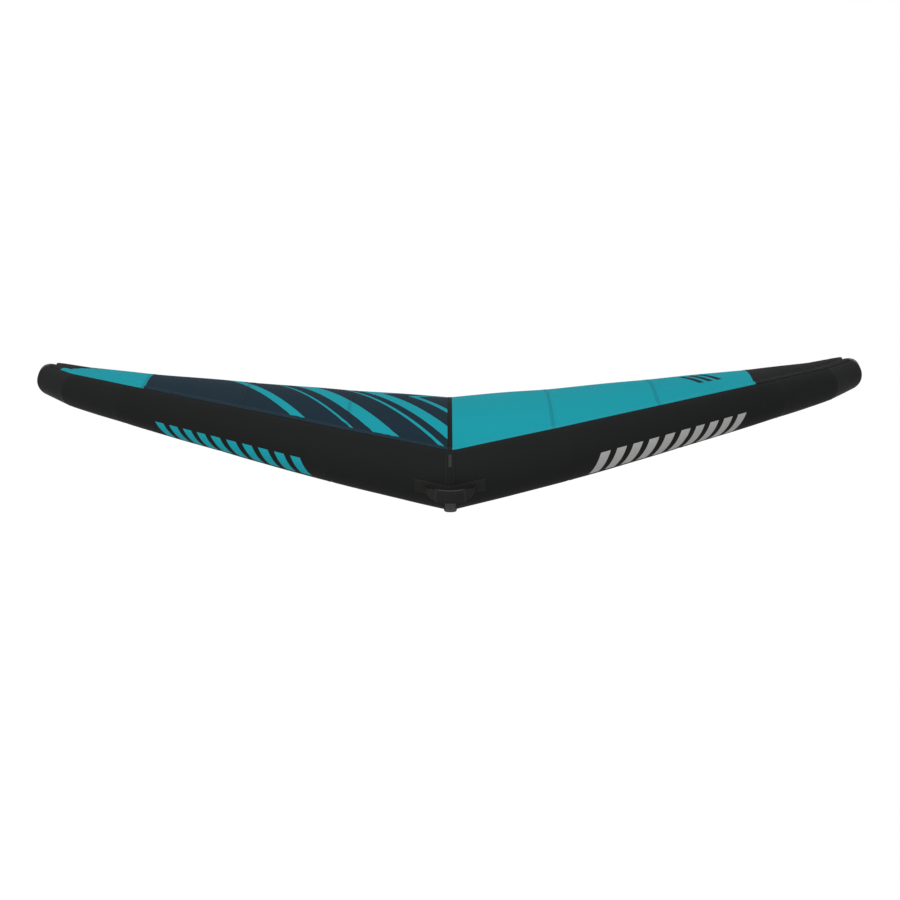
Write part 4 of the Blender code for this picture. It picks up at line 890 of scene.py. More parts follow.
def tape_cloth(name, width, colour=BLACK, pale_before=None):
    recipe = Recipe(name, 0.82, 0.05)
    along, over = recipe.flat_measures()
    thread = stitches(recipe, along, over, width)
    if pale_before is not None:
        colour = recipe.blend(recipe.calc("LESS_THAN", along, pale_before), colour, PALE_FACING_GREY)
    drift = recipe.spread(recipe.noise(6), 0.90, 1.10)
    tinted = recipe.blend(thread, recipe.shaded(colour, drift), THREAD_GREY)
    weave = recipe.calc("MULTIPLY", woven_relief(recipe, along, over, 0.0008), 0.015)
    relief = recipe.calc("ADD", recipe.calc("ADD", weave, recipe.noise(35, 4)), recipe.calc("MULTIPLY", thread, 0.3))
    return recipe.done(tinted, recipe.spread(recipe.noise(20), 0.74, 0.88), relief, 0.001, 0.5)


def webbing(name, width, colour=(0.016, 0.016, 0.0155)):
    """Woven strap: fat diagonal ribs, fuzzy edges and a row of stitches down each side."""
    recipe = Recipe(name, 0.85, 0.06)
    along, over = recipe.flat_measures()
    rib = recipe.calc("PINGPONG", recipe.calc("ADD", along, recipe.calc("ABSOLUTE", over)), 0.0011)
    rib = recipe.calc("DIVIDE", rib, 0.0011)
    thread = stitches(recipe, along, over, width)
    fuzz = recipe.noise(420, 2)
    # The ribs are painted into the colour too: painted shade in their hollows and a painted highlight on their crests.
    # The fuzz adds a random tone.
    shade = recipe.calc("MULTIPLY", recipe.spread(rib, 0.72, 1.18), recipe.spread(fuzz, 0.85, 1.15))
    tinted = recipe.blend(thread, recipe.shaded(colour, shade), THREAD_GREY)
    relief = recipe.calc("ADD", rib, recipe.calc("MULTIPLY", fuzz, 0.4))
    return recipe.done(tinted, recipe.spread(fuzz, 0.78, 0.92), relief, 0.00015, 0.6)


HEM_TAPE = tape_cloth("hem tape", HEM_WIDTH)
SEAM_TAPE = tape_cloth("nose seam tape", 0.034, pale_before=PALE_FACING_ANGLE * TUBE_RADIUS)
WEB_CLOTH = tape_cloth("strut web cloth", 4.0)
CAP_CLOTH = tape_cloth("tail cap cloth", 4.0)
STRAP_WEBBING = webbing("handle webbing", 0.036, (0.050, 0.050, 0.049))
NOSE_STRAP_WEBBING = webbing("nose handle webbing", 0.036, (0.020, 0.020, 0.020))
FOOT_WEBBING = webbing("foot webbing", 0.046)
LOOP_WEBBING = webbing("loop webbing", 0.025)
TAB_WEBBING = webbing("tab webbing", 0.011, (0.034, 0.034, 0.033))

# %% [markdown]
# The trailing edge is turned over and sewn into a hem, which keeps it from fluttering. It
# is a strip along the cloth's last two centimetres, with a shallow scallop between the
# battens, where the edge pulls in under tension.

# %% Trailing edge hems
BATTEN_PLACES = tuple(CANOPY_HALF_SPAN * share for share in (0.28, 0.60))
HEM_THICK = 0.0022
SCALLOP = 0.004


def scallop(across):
    """How far the edge pulls in, from nothing at each batten to its most between them."""
    marks = (0.0, *BATTEN_PLACES, TIP_SHARE * CANOPY_HALF_SPAN)
    for low, high in zip(marks, marks[1:]):
        if low <= across <= high:
            return SCALLOP * math.sin(math.pi * (across - low) / (high - low))
    return 0.0


def make_hem(side):
    sign = 1 if side == "right" else -1
    columns = spaced([0.0004, *BATTEN_PLACES, TIP_SHARE * CANOPY_HALF_SPAN], 0.018)

    def point_at(along, over):
        across = listed(columns, along)
        start = hem_share(across) - 0.0015 / chord_at(across)
        end = 1 - scallop(across) / chord_at(across)
        return canopy_spot(sign * across, mix(start, end, over), 0.0003 * math.sin(40 * across))

    def measure_at(along, over):
        return listed(columns, along), HEM_WIDTH * (over - 0.5)

    bm = laid_grid(len(columns) - 1, 3, point_at, measure_at)
    hem = dress(f"trailing_edge_hem_{side}_sewn", bm, HEM_TAPE, "black_cloth", "airframe", f"trailing_edge_hem_{side}")
    return thicken(hem, HEM_THICK, 0.0, 0.0008)


hems = [make_hem(side) for side in ("right", "left")]

# %% [markdown]
# Two battens a side stiffen the rear of the canopy. Each lies in a narrow sewn pocket that
# bulges over it. The batten itself is a pultruded glass rod whose end shows at the hem, so
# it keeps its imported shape.

# %% Batten pockets
POCKET_WIDTH = 0.030
POCKET_THICK = 0.0036
POCKET_LIFT = 0.0013
POCKET_FRONT_SHARE = (12 / 14) ** ROW_POWER
POCKET_CROWN = 0.0012


def make_pocket(number, side):
    sign = 1 if side == "right" else -1
    centre = BATTEN_PLACES[number - 1]
    length = chord_at(centre) * (hem_share(centre) - POCKET_FRONT_SHARE * hem_share(centre))

    def point_at(along, over):
        across = centre + POCKET_WIDTH * (over - 0.5)
        share = mix(POCKET_FRONT_SHARE, 1, along) * hem_share(across)
        crown = POCKET_CROWN * math.sin(math.pi * over) * math.sin(math.pi * min(1, 0.08 + along))
        return canopy_spot(sign * across, share, POCKET_LIFT + crown)

    bm = laid_grid(24, 8, point_at, lambda along, over: (length * along, POCKET_WIDTH * (over - 0.5)))
    name = f"batten_pocket_{number}_{side}"
    pocket = dress(f"{name}_sewn", bm, tape_cloth(f"{name} tape", POCKET_WIDTH), "black_cloth", "airframe", name)
    return thicken(pocket, POCKET_THICK - POCKET_CROWN, faces_towards(pocket, Vector((0, 0, 1))), 0.0009)


for side in ("right", "left"):
    for number in (1, 2):
        make_pocket(number, side)

# %% [markdown]
# A band of tape covers the seam where the two halves of the leading edge meet at the nose,
# and a short webbing tab is sewn over it. Both lie on the sleeve, so both ask the sleeve
# for their points and stand off it by their own lift.

# %% Nose seam tape and tab
TAPE_WIDTH = 0.034
TAPE_LIFT = 0.0007
TAPE_THICK = 0.0007
TAPE_START, TAPE_END = -math.pi, CANOPY_SEAM_ANGLE - math.radians(8)
TAB_WIDTH, TAB_THICK = 0.011, 0.0016
TAB_LOW, TAB_TOP = math.radians(-63), math.radians(-35)


def nose_band(width, start, end, lift, columns, rows):
    """A strip round the nose, from one angle to another."""

    def point_at(along, over):
        run = run_at(width * (along - 0.5))
        return tube_skin(run, mix(start, end, over), lift)

    def measure_at(along, over):
        return mix(start, end, over) * TUBE_RADIUS, width * (along - 0.5)

    return laid_grid(columns, rows, point_at, measure_at)


tape = dress("nose_tape", nose_band(TAPE_WIDTH, TAPE_START, TAPE_END, TAPE_LIFT, 6, 90),
             SEAM_TAPE, "black_cloth", "airframe", "nose_seam_tape")
thicken(tape, TAPE_THICK, faces_towards(tape, Vector((0, -1, 0))))
tab = dress("nose_tab", nose_band(TAB_WIDTH, TAB_LOW, TAB_TOP, TAPE_LIFT + TAPE_THICK, 4, 30),
            TAB_WEBBING, "webbing", "airframe", "nose_webbing_tab")
thicken(tab, TAB_THICK, faces_towards(tab, Vector((0, -1, 0))), 0.0004)

# %% [markdown]
# The centre strut is a second, smaller air tube that runs from the nose to the tail and
# carries the handles. It meets the leading edge in a saddle: a round tube that lands on
# another round tube. Its first row of corners is therefore moved back, each by itself,
# until it lies on the leading edge. Cutting it with a Boolean would leave a ragged rim.

# %% The strut's surface
STRUT_FRONT, STRUT_BACK = 0.02, 2.03
STRUT_FRONT_HEIGHT, STRUT_BACK_HEIGHT = 0.0, 0.042
STRUT_RADIUS = 0.076
STRUT_SHARES = ((0.0, 0.92), (0.12, 0.97), (0.28, 1.0), (0.46, 0.95), (0.64, 0.84), (0.82, 0.70), (1.0, 0.54))
STRUT_SEAMS = (0.28, 0.46, 0.82)
SADDLE_COLLAR = 0.014
HALVINGS = 22


def strut_share(back):
    return (back - STRUT_FRONT) / (STRUT_BACK - STRUT_FRONT)


def strut_radius(back):
    share = strut_share(min(back, STRUT_BACK))
    for (place, radius), (next_place, next_radius) in zip(STRUT_SHARES, STRUT_SHARES[1:]):
        if share <= next_place or next_place == 1.0:
            return STRUT_RADIUS * mix(radius, next_radius, (share - place) / (next_place - place))


def strut_skin(back, angle, lift=0.0):
    """A point on the strut, at an angle from its lowest line."""
    radius = strut_radius(back) + lift
    if back > STRUT_BACK:
        radius *= math.sqrt(max(0.0, 1 - ((back - STRUT_BACK) / radius) ** 2))
    height = mix(STRUT_FRONT_HEIGHT, STRUT_BACK_HEIGHT, strut_share(back))
    return NOSE + Vector((radius * math.sin(angle), back, height - radius * math.cos(angle)))


def saddle_back(point):
    """How far back the leading edge's rear wall is, beside and above the nose centre, at this point."""
    run = abs(run_at(point.x))
    top, low = 0.0, math.pi
    for _ in range(HALVINGS):
        middle = (top + low) / 2
        if tube_skin(run, middle).z > point.z:
            top = middle
        else:
            low = middle
    return tube_skin(run, (top + low) / 2).y - NOSE.y


def strut_lift(back, angle):
    belly = 0.5 + 0.5 * math.cos(angle)
    places = [mix(STRUT_FRONT, STRUT_BACK, share) for share in STRUT_SEAMS]
    distance = min(abs(back - place) for place in places)
    lift = 0.0012 * (1 - belly) * (1 - math.exp(-distance / 0.08))
    lift += 0.0006 * noise.noise(Vector((7 * back, 2 * math.cos(angle), 2 * math.sin(angle)))) * (1 - belly)
    lift -= 0.0010 * math.exp(-(distance / 0.004) ** 2)
    ripple = math.cos(26 * angle + back)
    lift += 0.0009 * ripple * math.exp(-distance / 0.022) * ease(distance / 0.005) * (1 - belly)
    near_nose = back - 0.10
    return lift + 0.0010 * ripple * math.exp(-max(0.0, near_nose) / 0.03) * (1 - belly)


print("strut", round(STRUT_BACK - STRUT_FRONT, 2), "m long, saddle", round(saddle_back(strut_skin(0.1, math.pi / 2)), 4), "m back")

# %% [markdown]
# The sleeve of the strut is rolled from a grid like the leading edge, and the same rings
# drawn in make its bladder. The tail cap is a cup of doubled cloth over the last few
# centimetres.

# %% Strut sleeve, bladder and tail cap
STRUT_SIDES = 80
FIRST_WHOLE_RING = 0.150
FRONT_TUCK = 0.004
CAP_LENGTH, CAP_WALL, CAP_LIFT = 0.085, 0.0012, 0.0006


def strut_places(first, widest):
    marks = [first]
    for share in STRUT_SEAMS:
        place = mix(STRUT_FRONT, STRUT_BACK, share)
        marks += [place + step for step in (-0.02, -0.004, 0.0, 0.004, 0.02)]
    places = spaced(marks + [STRUT_BACK], widest)
    dome = strut_radius(STRUT_BACK)
    return places + [STRUT_BACK + dome * math.sin(math.radians(turn)) for turn in range(8, 89, 8)]


def rolled_strut(places, sides, saddle, lift_at):
    """A grid rolled round the strut, with its rear pole closed and its front on the saddle."""
    collar = [0.0, 0.002, SADDLE_COLLAR, SADDLE_COLLAR + 0.002] if saddle else []
    count = len(collar) + len(places)
    tail = STRUT_BACK + strut_radius(STRUT_BACK)

    def place_of(along, angle):
        number = round(along * count)
        if number < len(collar):
            return saddle_back(strut_skin(FIRST_WHOLE_RING, angle)) - 0.001 + collar[number]
        return places[number - len(collar)] if number < count else tail

    def point_at(along, over):
        angle = 2 * math.pi * (over % 1.0)
        back = place_of(along, angle)
        number = round(along * count)
        rim = 0.0011 if number < len(collar) - 1 else 0.0
        if number == count:
            return strut_skin(back, angle, 0.0)
        return strut_skin(back, angle, lift_at(back, angle) + rim)

    def measure_at(along, over):
        return place_of(along, 0.0), (over - 0.5) * 2 * math.pi * STRUT_RADIUS

    return laid_grid(count, sides, point_at, measure_at)


def open_rim(bm):
    return [edge for edge in bm.edges if edge.is_boundary]


def strut_tube():
    """The strut's sleeve. Its front rim is tucked into the leading edge and closed there, out of sight."""
    bm = rolled_strut(strut_places(FIRST_WHOLE_RING, 0.016), STRUT_SIDES, True, strut_lift)
    bmesh.ops.extrude_edge_only(bm, edges=open_rim(bm))
    rim = open_rim(bm)
    bmesh.ops.translate(bm, verts=list({vert for edge in rim for vert in edge.verts}), vec=(0, -FRONT_TUCK, 0))
    bmesh.ops.edgeloop_fill(bm, edges=rim)
    return dress("strut_tube", bm, PLAIN_SLEEVE, "sleeve_cloth", "airframe", "strut_sleeve")


strut_tube()


def strut_air_tube():
    places = strut_places(FIRST_WHOLE_RING, 0.05)
    bm = rolled_strut(places, 32, False, lambda back, angle: -0.004)
    bmesh.ops.edgeloop_fill(bm, edges=open_rim(bm))
    return dress("strut_air_tube", bm, FILM_FINISH, "bladder_film", "airframe", "strut_bladder")


def tail_cap():
    first = STRUT_BACK - CAP_LENGTH
    places = [place for place in strut_places(first, 0.012) if place >= first]
    bm = rolled_strut(sorted(set([first] + places)), STRUT_SIDES, False, lambda back, angle: CAP_LIFT)
    cap = dress("strut_tail_cover", bm, CAP_CLOTH, "black_cloth", "airframe", "strut_tail_cap")
    return thicken(cap, CAP_WALL, faces_towards(cap, Vector((0, 1, 0))), 0.0004)


strut_air_tube()
tail_cap()

# %% [markdown]
# Between strut and canopy stands the web, an upright strip of cloth sewn to both. It is a
# grid between two lines: the strut's top, or the leading edge near the nose, and the
# underside of the canopy. A slight wave from side to side shows that it is cloth.

# %% Strut web
WEB_FRONT = 0.054
WEB_THICK = 0.0012
WEB_WAVE = 0.0012


def web_low(back):
    """The height that the web stands on."""
    on_strut = strut_skin(back, math.pi).z
    ring = RINGS[0]
    if back < ring.radius:
        on_tube = NOSE.z + math.sqrt(ring.radius ** 2 - (back / ring.stretch) ** 2)
        return max(on_strut, on_tube) if back > 0.06 else on_tube
    return on_strut


def web_high(back):
    front, rear = seam_spot(0.0).y, edge_spot(0.0).y
    return canopy_spot(0.0, (back - front) / (rear - front)).z - CANOPY_WALL / 2


def strut_web():
    last = STRUT_BACK - CAP_LENGTH
    backs = spaced([WEB_FRONT, 0.12, last], 0.02)

    def point_at(along, over):
        back = listed(backs, along)
        height = mix(web_low(back) - 0.001, web_high(back), over)
        wave = WEB_WAVE * math.sin(math.pi * over) * math.sin(30 * back)
        return Vector((wave, NOSE.y + back, height))

    def measure_at(along, over):
        back = listed(backs, along)
        return back, mix(web_low(back), web_high(back), over)

    bm = laid_grid(len(backs) - 1, 8, point_at, measure_at)
    return dress("strut_web_cloth", bm, WEB_CLOTH, "black_cloth", "airframe", "strut_web")


web = strut_web()
thicken(web, WEB_THICK)

# %% [markdown]
# A handle is a webbing strap with a padded grip on it. Both swing on the joint that the
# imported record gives, so the joint's own line is the frame that they are drawn in: along
# the line, across it, and down from it. That way the pieces cannot drift off their hinge.

# %% Where each handle hangs
JOINTS = {joint["child"]: joint for joint in frame["joints"]}
STRUT_HANDLE = (0.27, 0.056)
NOSE_HANDLE = (0.165, 0.070)
NOSE_HANG = Vector((0, -0.9397, -0.342)).normalized()


def handle_frame(name):
    """A matrix whose Y runs along the hinge and whose Z points up from the grip."""
    pivot = Vector(JOINTS[name]["pos_m"])
    if name == "nose_handle":
        along, up = Vector((1, 0, 0)), -NOSE_HANG
    else:
        along = Vector(JOINTS[name]["axis"]).normalized()
        up = Vector((1, 0, 0)).cross(along)
    turn = Matrix((along.cross(up), along, up)).transposed()
    return Matrix.Translation(pivot) @ turn.to_4x4()


for name in ("front_handle", "rear_handle", "nose_handle"):
    print(name, "pivot", [round(c, 3) for c in handle_frame(name).translation])

# %% [markdown]
# The strap narrows to a neck at each pivot and runs through the grip. On the strut it drops
# and turns a square corner; at the nose it is shorter and hangs in a bow. Either way it is a
# strip whose rows are listed from one neck to the middle and then mirrored.

# %% Handle straps
STRAP_WIDTH, STRAP_THICK, STRAP_NECK, STRAP_CORNER = 0.036, 0.003, 0.016, 0.022
NECK_TURNS = tuple(math.radians(turn) for turn in (86, 70, 50, 30, 14))
BOW_STEPS, BOW_WIDENING_STEPS = 13, 2


def neck_rows(length):
    neck, end = STRAP_NECK / 2, -length / 2
    rows = [(end, neck * math.sin(turn), neck * math.cos(turn)) for turn in NECK_TURNS]
    return rows + [(end, 0.0, neck), (end, -neck, neck)]


def cornered_rows(length, drop):
    end = -length / 2
    rows = neck_rows(length) + [(end, -(drop - STRAP_CORNER), STRAP_WIDTH / 2)]
    for step in range(1, 9):
        turn = math.pi + math.pi / 2 * step / 8
        back = end + STRAP_CORNER * (1 + math.cos(turn))
        rows.append((back, -(drop - STRAP_CORNER) + STRAP_CORNER * math.sin(turn), STRAP_WIDTH / 2))
    return rows


def bow_spot(length, drop, step, out=0.0):
    """Place along and height on the bow, at a step from its end and this far outside it."""
    depth = drop - STRAP_NECK
    radius = (depth ** 2 + (length / 2) ** 2) / (2 * depth)
    turn = math.asin(length / 2 / radius) * (2 * step / BOW_STEPS - 1)
    return (radius + out) * math.sin(turn), radius - drop - (radius + out) * math.cos(turn)


def bowed_rows(length, drop):
    rows = neck_rows(length)
    for step in spaced([0.0, BOW_STEPS / 2 - 0.25], 0.5):
        wide = mix(STRAP_NECK, STRAP_WIDTH, min(1, step / BOW_WIDENING_STEPS))
        rows.append((*bow_spot(length, drop, step), wide / 2))
    return rows


def handle_strap(name, half, finish):
    rows = half + [(-back, up, wide) for back, up, wide in reversed(half)]
    place = handle_frame(name)
    lengths = [0.0]
    for (back, up, _), (next_back, next_up, _) in zip(rows, rows[1:]):
        lengths.append(lengths[-1] + math.hypot(next_back - back, next_up - up))

    def point_at(along, over):
        back, up, wide = listed(rows, along)
        return place @ Vector((wide * (2 * over - 1), back, up))

    def measure_at(along, over):
        return listed(lengths, along), listed(rows, along)[2] * (2 * over - 1)

    bm = laid_grid(len(rows) - 1, 6, point_at, measure_at)
    strap = dress(f"{name}_webbing", bm, finish, "webbing", name, f"{name}_strap")
    return thicken(strap, STRAP_THICK, 0.0, 0.0008)


# %% [markdown]
# The grip is a foam pad in a stretched cover, firm enough to keep its moulded shape, so it
# is drawn rather than simulated: an oval between a circle and a rectangle, fuller in the
# middle, with a cuff at each end. A diamond relief in the cover keeps a wet hand from
# slipping, and its grooves are painted darker in the colour, a painted shade. A paler band
# closes the cover along one edge: a binding, which on the nose grip is made wide along the
# top edge so that it also stands for a painted highlight there.

# %% Grip cover
GRIP_GREY = (0.017, 0.017, 0.0175)
# A pale grey band along one edge of each grip: a binding on the strut grips, and on the nose grip a wide band along
# the top edge that stands for a painted highlight.
BINDING_AND_HIGHLIGHT_GREY = (0.062, 0.063, 0.062)
STRUT_BINDING, NOSE_BINDING_AND_HIGHLIGHT = 0.0042, 0.012
DIAMOND = 0.0052


def grip_cover(name, long, cuff_grey, binding_and_highlight_width):
    recipe = Recipe(name, 0.82, 0.08)
    along, over = recipe.flat_measures()
    lines = [recipe.threads(recipe.calc(kind, along, over), DIAMOND, DIAMOND * 0.30) for kind in ("ADD", "SUBTRACT")]
    groove = recipe.any_of(*lines)
    worn = recipe.noise(18, 5)
    # Darker in the diamond grooves: painted shade in the recesses.
    shade = recipe.calc("MULTIPLY", recipe.spread(groove, 1.06, 0.74), recipe.spread(worn, 0.88, 1.14))
    # The pale band along one edge: a binding, which on the nose grip also stands for a painted highlight along its top
    # edge.
    binding_and_highlight = recipe.calc("LESS_THAN", recipe.calc("ABSOLUTE", over), binding_and_highlight_width / 2)
    colour = recipe.blend(binding_and_highlight, recipe.shaded(GRIP_GREY, shade), recipe.shaded(BINDING_AND_HIGHLIGHT_GREY, shade))
    from_middle = recipe.calc("ABSOLUTE", recipe.calc("SUBTRACT", along, long / 2))
    cuff = recipe.calc("GREATER_THAN", from_middle, long / 2 - CUFF_LENGTH)
    colour = recipe.blend(cuff, colour, recipe.shaded(cuff_grey, recipe.spread(worn, 0.88, 1.14)))
    relief = recipe.calc("SUBTRACT", recipe.calc("MULTIPLY", recipe.noise(260, 3), 0.3), groove)
    return recipe.done(colour, recipe.spread(worn, 0.74, 0.88), relief, 0.0006, 0.7)


GRIP_WIDTH, GRIP_THICK, BOW_GRIP_THICK = 0.048, 0.026, 0.018
BOW_GRIP_STEPS = 3
GRIP_SQUARENESS = 2.9
CUFF_LENGTH, CUFF_RISE, END_ROUND = 0.013, 0.0008, 0.006
BINDING_RISE = 0.0007
STRUT_CUFF_GREY, NOSE_CUFF_GREY = (0.100, 0.101, 0.102), (0.021, 0.021, 0.021)


def oval(angle, width, thick):
    """A point on a rounded oval between an ellipse and a rectangle."""
    c, s = math.cos(angle), math.sin(angle)
    reach = (abs(c) ** GRIP_SQUARENESS + abs(s) ** GRIP_SQUARENESS) ** (-1 / GRIP_SQUARENESS)
    return width / 2 * c * reach, thick / 2 * s * reach


def straight_line(length, drop):
    """The grip's length, and the way to its centre line and outwards from it."""
    long = length - 2 * (STRAP_CORNER + STRAP_THICK)
    return long, lambda share, out: (long * (share - 0.5), -drop - out)


def bowed_line(length, drop):
    last = BOW_STEPS - BOW_GRIP_STEPS

    def line(share, out):
        return bow_spot(length, drop, mix(BOW_GRIP_STEPS, last, share), out)

    ends = [line(step / 20, 0.0) for step in range(21)]
    return sum(math.dist(a, b) for a, b in zip(ends, ends[1:])), line


def handle_grip(name, line_of, sizes, thick, finish):
    long, line = line_of(*sizes)
    place = handle_frame(name)
    half = [0.0, 0.0002, 0.0012, 0.003, END_ROUND, CUFF_LENGTH - 0.001, CUFF_LENGTH, CUFF_LENGTH + 0.001, CUFF_LENGTH + 0.004]
    places = spaced(half + [long - p for p in reversed(half)], 0.008)

    def point_at(along, over):
        p = listed(places, along)
        end = min(p, long - p)
        turn = min(1.0, end / END_ROUND)
        size = 0.80 + 0.20 * math.sqrt(max(0.0, 1 - (1 - turn) ** 2)) if end > 0 else 0.0
        crown = 0.0006 - 0.0012 * (2 * p / long - 1) ** 2
        cuff = CUFF_RISE * ease((CUFF_LENGTH - end) / 0.001) - CUFF_RISE
        angle = math.pi * (2 * over - 1)
        grow = 2 * (crown + cuff)
        wide, high = oval(angle, GRIP_WIDTH + grow, thick + grow)
        wide += BINDING_RISE * math.exp(-(angle / 0.09) ** 2)
        back, up = line(p / long, -high * size)
        return place @ Vector((wide * size, back, up))

    def measure_at(along, over):
        return listed(places, along), (over - 0.5) * math.pi * (GRIP_WIDTH + thick) / 2

    bm = laid_grid(len(places) - 1, 64, point_at, measure_at)
    grip = dress(f"{name}_padding", bm, finish, "grip_cover", name, f"{name}_grip")
    return grip


STRUT_GRIP_COVER = grip_cover("strut grip cover", straight_line(*STRUT_HANDLE)[0], STRUT_CUFF_GREY, STRUT_BINDING)
NOSE_GRIP_COVER = grip_cover("nose grip cover", bowed_line(*NOSE_HANDLE)[0], NOSE_CUFF_GREY, NOSE_BINDING_AND_HIGHLIGHT)
for name in ("front_handle", "rear_handle"):
    handle_strap(name, cornered_rows(*STRUT_HANDLE), STRAP_WEBBING)
    handle_grip(name, straight_line, STRUT_HANDLE, GRIP_THICK, STRUT_GRIP_COVER)
handle_strap("nose_handle", bowed_rows(*NOSE_HANDLE), NOSE_STRAP_WEBBING)
handle_grip("nose_handle", bowed_line, NOSE_HANDLE, BOW_GRIP_THICK, NOSE_GRIP_COVER)

# %% [markdown]
# Each strap is held by a foot: a strip of webbing sewn flat to the tube, with a round-ended
# tab beside each neck. The strip is a laid grid; a tab is an outline that is filled,
# extruded to its thickness and bevelled. Foot and tabs are one sewn piece.

# %% Handle feet
FOOT_LIFT, FOOT_THICK = 0.0005, 0.002
FOOT_TURN = math.radians(19)
FOOT_OVERHANG, FOOT_STANDOFF = 0.030, 0.011
NOSE_FOOT_ANGLE, NOSE_FOOT_TURN, NOSE_FOOT_END = math.radians(-110), math.radians(13), 0.112


def add_tab(bm, place, beside, rise):
    """A tab with a round lower end, from the pivot line up into the foot."""
    half = STRAP_NECK / 2
    turns = [math.pi + math.pi * step / 12 for step in range(13)]
    outline = [(half * math.cos(turn), half * math.sin(turn)) for turn in turns] + [(half, rise), (-half, rise)]
    verts = [bm.verts.new(place @ Vector((x, beside - STRAP_THICK / 2, z))) for x, z in outline]
    face = bm.faces.new(verts)
    made = bmesh.ops.extrude_face_region(bm, geom=[face])["geom"]
    across = place.to_3x3() @ Vector((0, STRAP_THICK, 0))
    bmesh.ops.translate(bm, vec=across, verts=[item for item in made if isinstance(item, bmesh.types.BMVert)])
    cut = bm.loops.layers.uv[CUT_MAP]
    inverse = place.inverted()
    faces = {other for vert in verts for other in vert.link_faces} | {item for item in made if isinstance(item, bmesh.types.BMFace)}
    for other in faces:
        for loop in other.loops:
            spot = inverse @ loop.vert.co
            loop[cut].uv = (spot.z, spot.x)


def foot(name, columns, rows, point_at, measure_at, outward, length, rise):
    bm = laid_grid(columns, rows, point_at, measure_at)
    strip = list(bm.faces)
    flip = sum(face.normal.dot(outward) * face.calc_area() for face in strip) < 0
    if flip:
        bmesh.ops.reverse_faces(bm, faces=strip)
    bmesh.ops.solidify(bm, geom=strip, thickness=-FOOT_THICK)
    place = handle_frame(name)
    for end in (-1, 1):
        add_tab(bm, place, end * (length / 2 + STRAP_THICK + 0.0003), rise)
    piece = dress(f"{name}_foot", bm, FOOT_WEBBING, "webbing", "airframe", f"{name}_feet")
    edge = piece.modifiers.new("rounded edge", "BEVEL")
    edge.width, edge.segments, edge.limit_method, edge.angle_limit = 0.0006, 2, "ANGLE", math.radians(50)
    return piece


def strut_foot(name):
    middle = handle_frame(name).translation.y - NOSE.y
    reach = STRUT_HANDLE[0] / 2 + FOOT_OVERHANG

    def point_at(along, over):
        return strut_skin(middle + reach * (2 * along - 1), FOOT_TURN * (2 * over - 1), FOOT_LIFT)

    def measure_at(along, over):
        return reach * (2 * along - 1), FOOT_TURN * (2 * over - 1) * STRUT_RADIUS

    return foot(name, 40, 10, point_at, measure_at, Vector((0, 0, -1)), STRUT_HANDLE[0], FOOT_STANDOFF + 0.0025)


def nose_foot():
    def point_at(along, over):
        run = run_at(NOSE_FOOT_END * (2 * along - 1))
        return tube_skin(run, NOSE_FOOT_ANGLE + NOSE_FOOT_TURN * (2 * over - 1), 0.0014)

    def measure_at(along, over):
        return NOSE_FOOT_END * (2 * along - 1), NOSE_FOOT_TURN * (2 * over - 1) * TUBE_RADIUS

    return foot("nose_handle", 40, 10, point_at, measure_at, Vector((0, -1, -0.3)), NOSE_HANDLE[0], FOOT_STANDOFF + 0.0025)


strut_foot("front_handle")
strut_foot("rear_handle")
nose_foot()

# %% [markdown]
# Two low webbing loops take a harness line and a folded tab holds the leash ring. Each is a
# strip that follows a line seen from the side, so one helper lays all of them.

# %% Harness loops and leash tab
LOOP_WIDTH, LOOP_LENGTH, LOOP_HEIGHT, WEBBING_THICK = 0.025, 0.060, 0.0105, 0.0018
LOOP_FLAT, LOOP_SHOULDER = 0.0122, 0.0185
FRONT_LOOP, REAR_LOOP, LEASH_PLACE = 0.335, 1.42, 0.215
TAB_HALF, TAB_EYE, TAB_DROP = 0.0078, 0.0056, 0.0151


def strut_belly(back):
    """A frame on the strut's lowest line, with Y back along it and Z up into it."""
    here, ahead = strut_skin(back, 0), strut_skin(back + 0.03, 0)
    along = (ahead - here).normalized()
    up = Vector((1, 0, 0)).cross(along)
    return Matrix.Translation(here) @ Matrix((Vector((1, 0, 0)), along, up)).transposed().to_4x4()


def belly_strip(line, width, back):
    """Webbing along a side view line of (back, height) points below the strut."""
    place = strut_belly(back)
    lengths = [0.0]
    for (y, z), (next_y, next_z) in zip(line, line[1:]):
        lengths.append(lengths[-1] + math.hypot(next_y - y, next_z - z))

    def point_at(along, over):
        y, z = listed(line, along)
        return place @ Vector((width * (over - 0.5), y, z))

    return laid_grid(len(line) - 1, 6, point_at, lambda along, over: (listed(lengths, along), width * (over - 0.5)))


def loop_line():
    top, low = -0.0003 - WEBBING_THICK / 2, -0.0003 - LOOP_HEIGHT + WEBBING_THICK / 2
    places = spaced([-LOOP_LENGTH / 2, -LOOP_SHOULDER], 0.003) + spaced([-LOOP_SHOULDER, -LOOP_FLAT], 0.0007)[1:]
    half = [(y, mix(low, top, ease((-y - LOOP_FLAT) / (LOOP_SHOULDER - LOOP_FLAT)))) for y in places]
    return half + [(y, low) for y in spaced([-LOOP_FLAT, LOOP_FLAT], 0.003)[1:-1]] + [(-y, z) for y, z in reversed(half)]


for name, back in (("front_harness_loop", FRONT_LOOP), ("rear_harness_loop", REAR_LOOP)):
    loop = dress(f"{name}_webbing", belly_strip(loop_line(), LOOP_WIDTH, back), LOOP_WEBBING, "webbing", "airframe", name)
    thicken(loop, WEBBING_THICK, 0.0, 0.0005)


def tab_line():
    turns = [math.pi * step / 16 for step in range(17)]
    bend = [(-TAB_EYE * math.cos(turn), -TAB_DROP - TAB_EYE * math.sin(turn)) for turn in turns]
    leg = [(-TAB_HALF, 0.0012), (-TAB_HALF, -0.001), (-TAB_HALF * 0.9, -0.004), (-TAB_EYE, -TAB_DROP * 0.8)]
    return leg + bend + [(-y, z) for y, z in reversed(leg)]


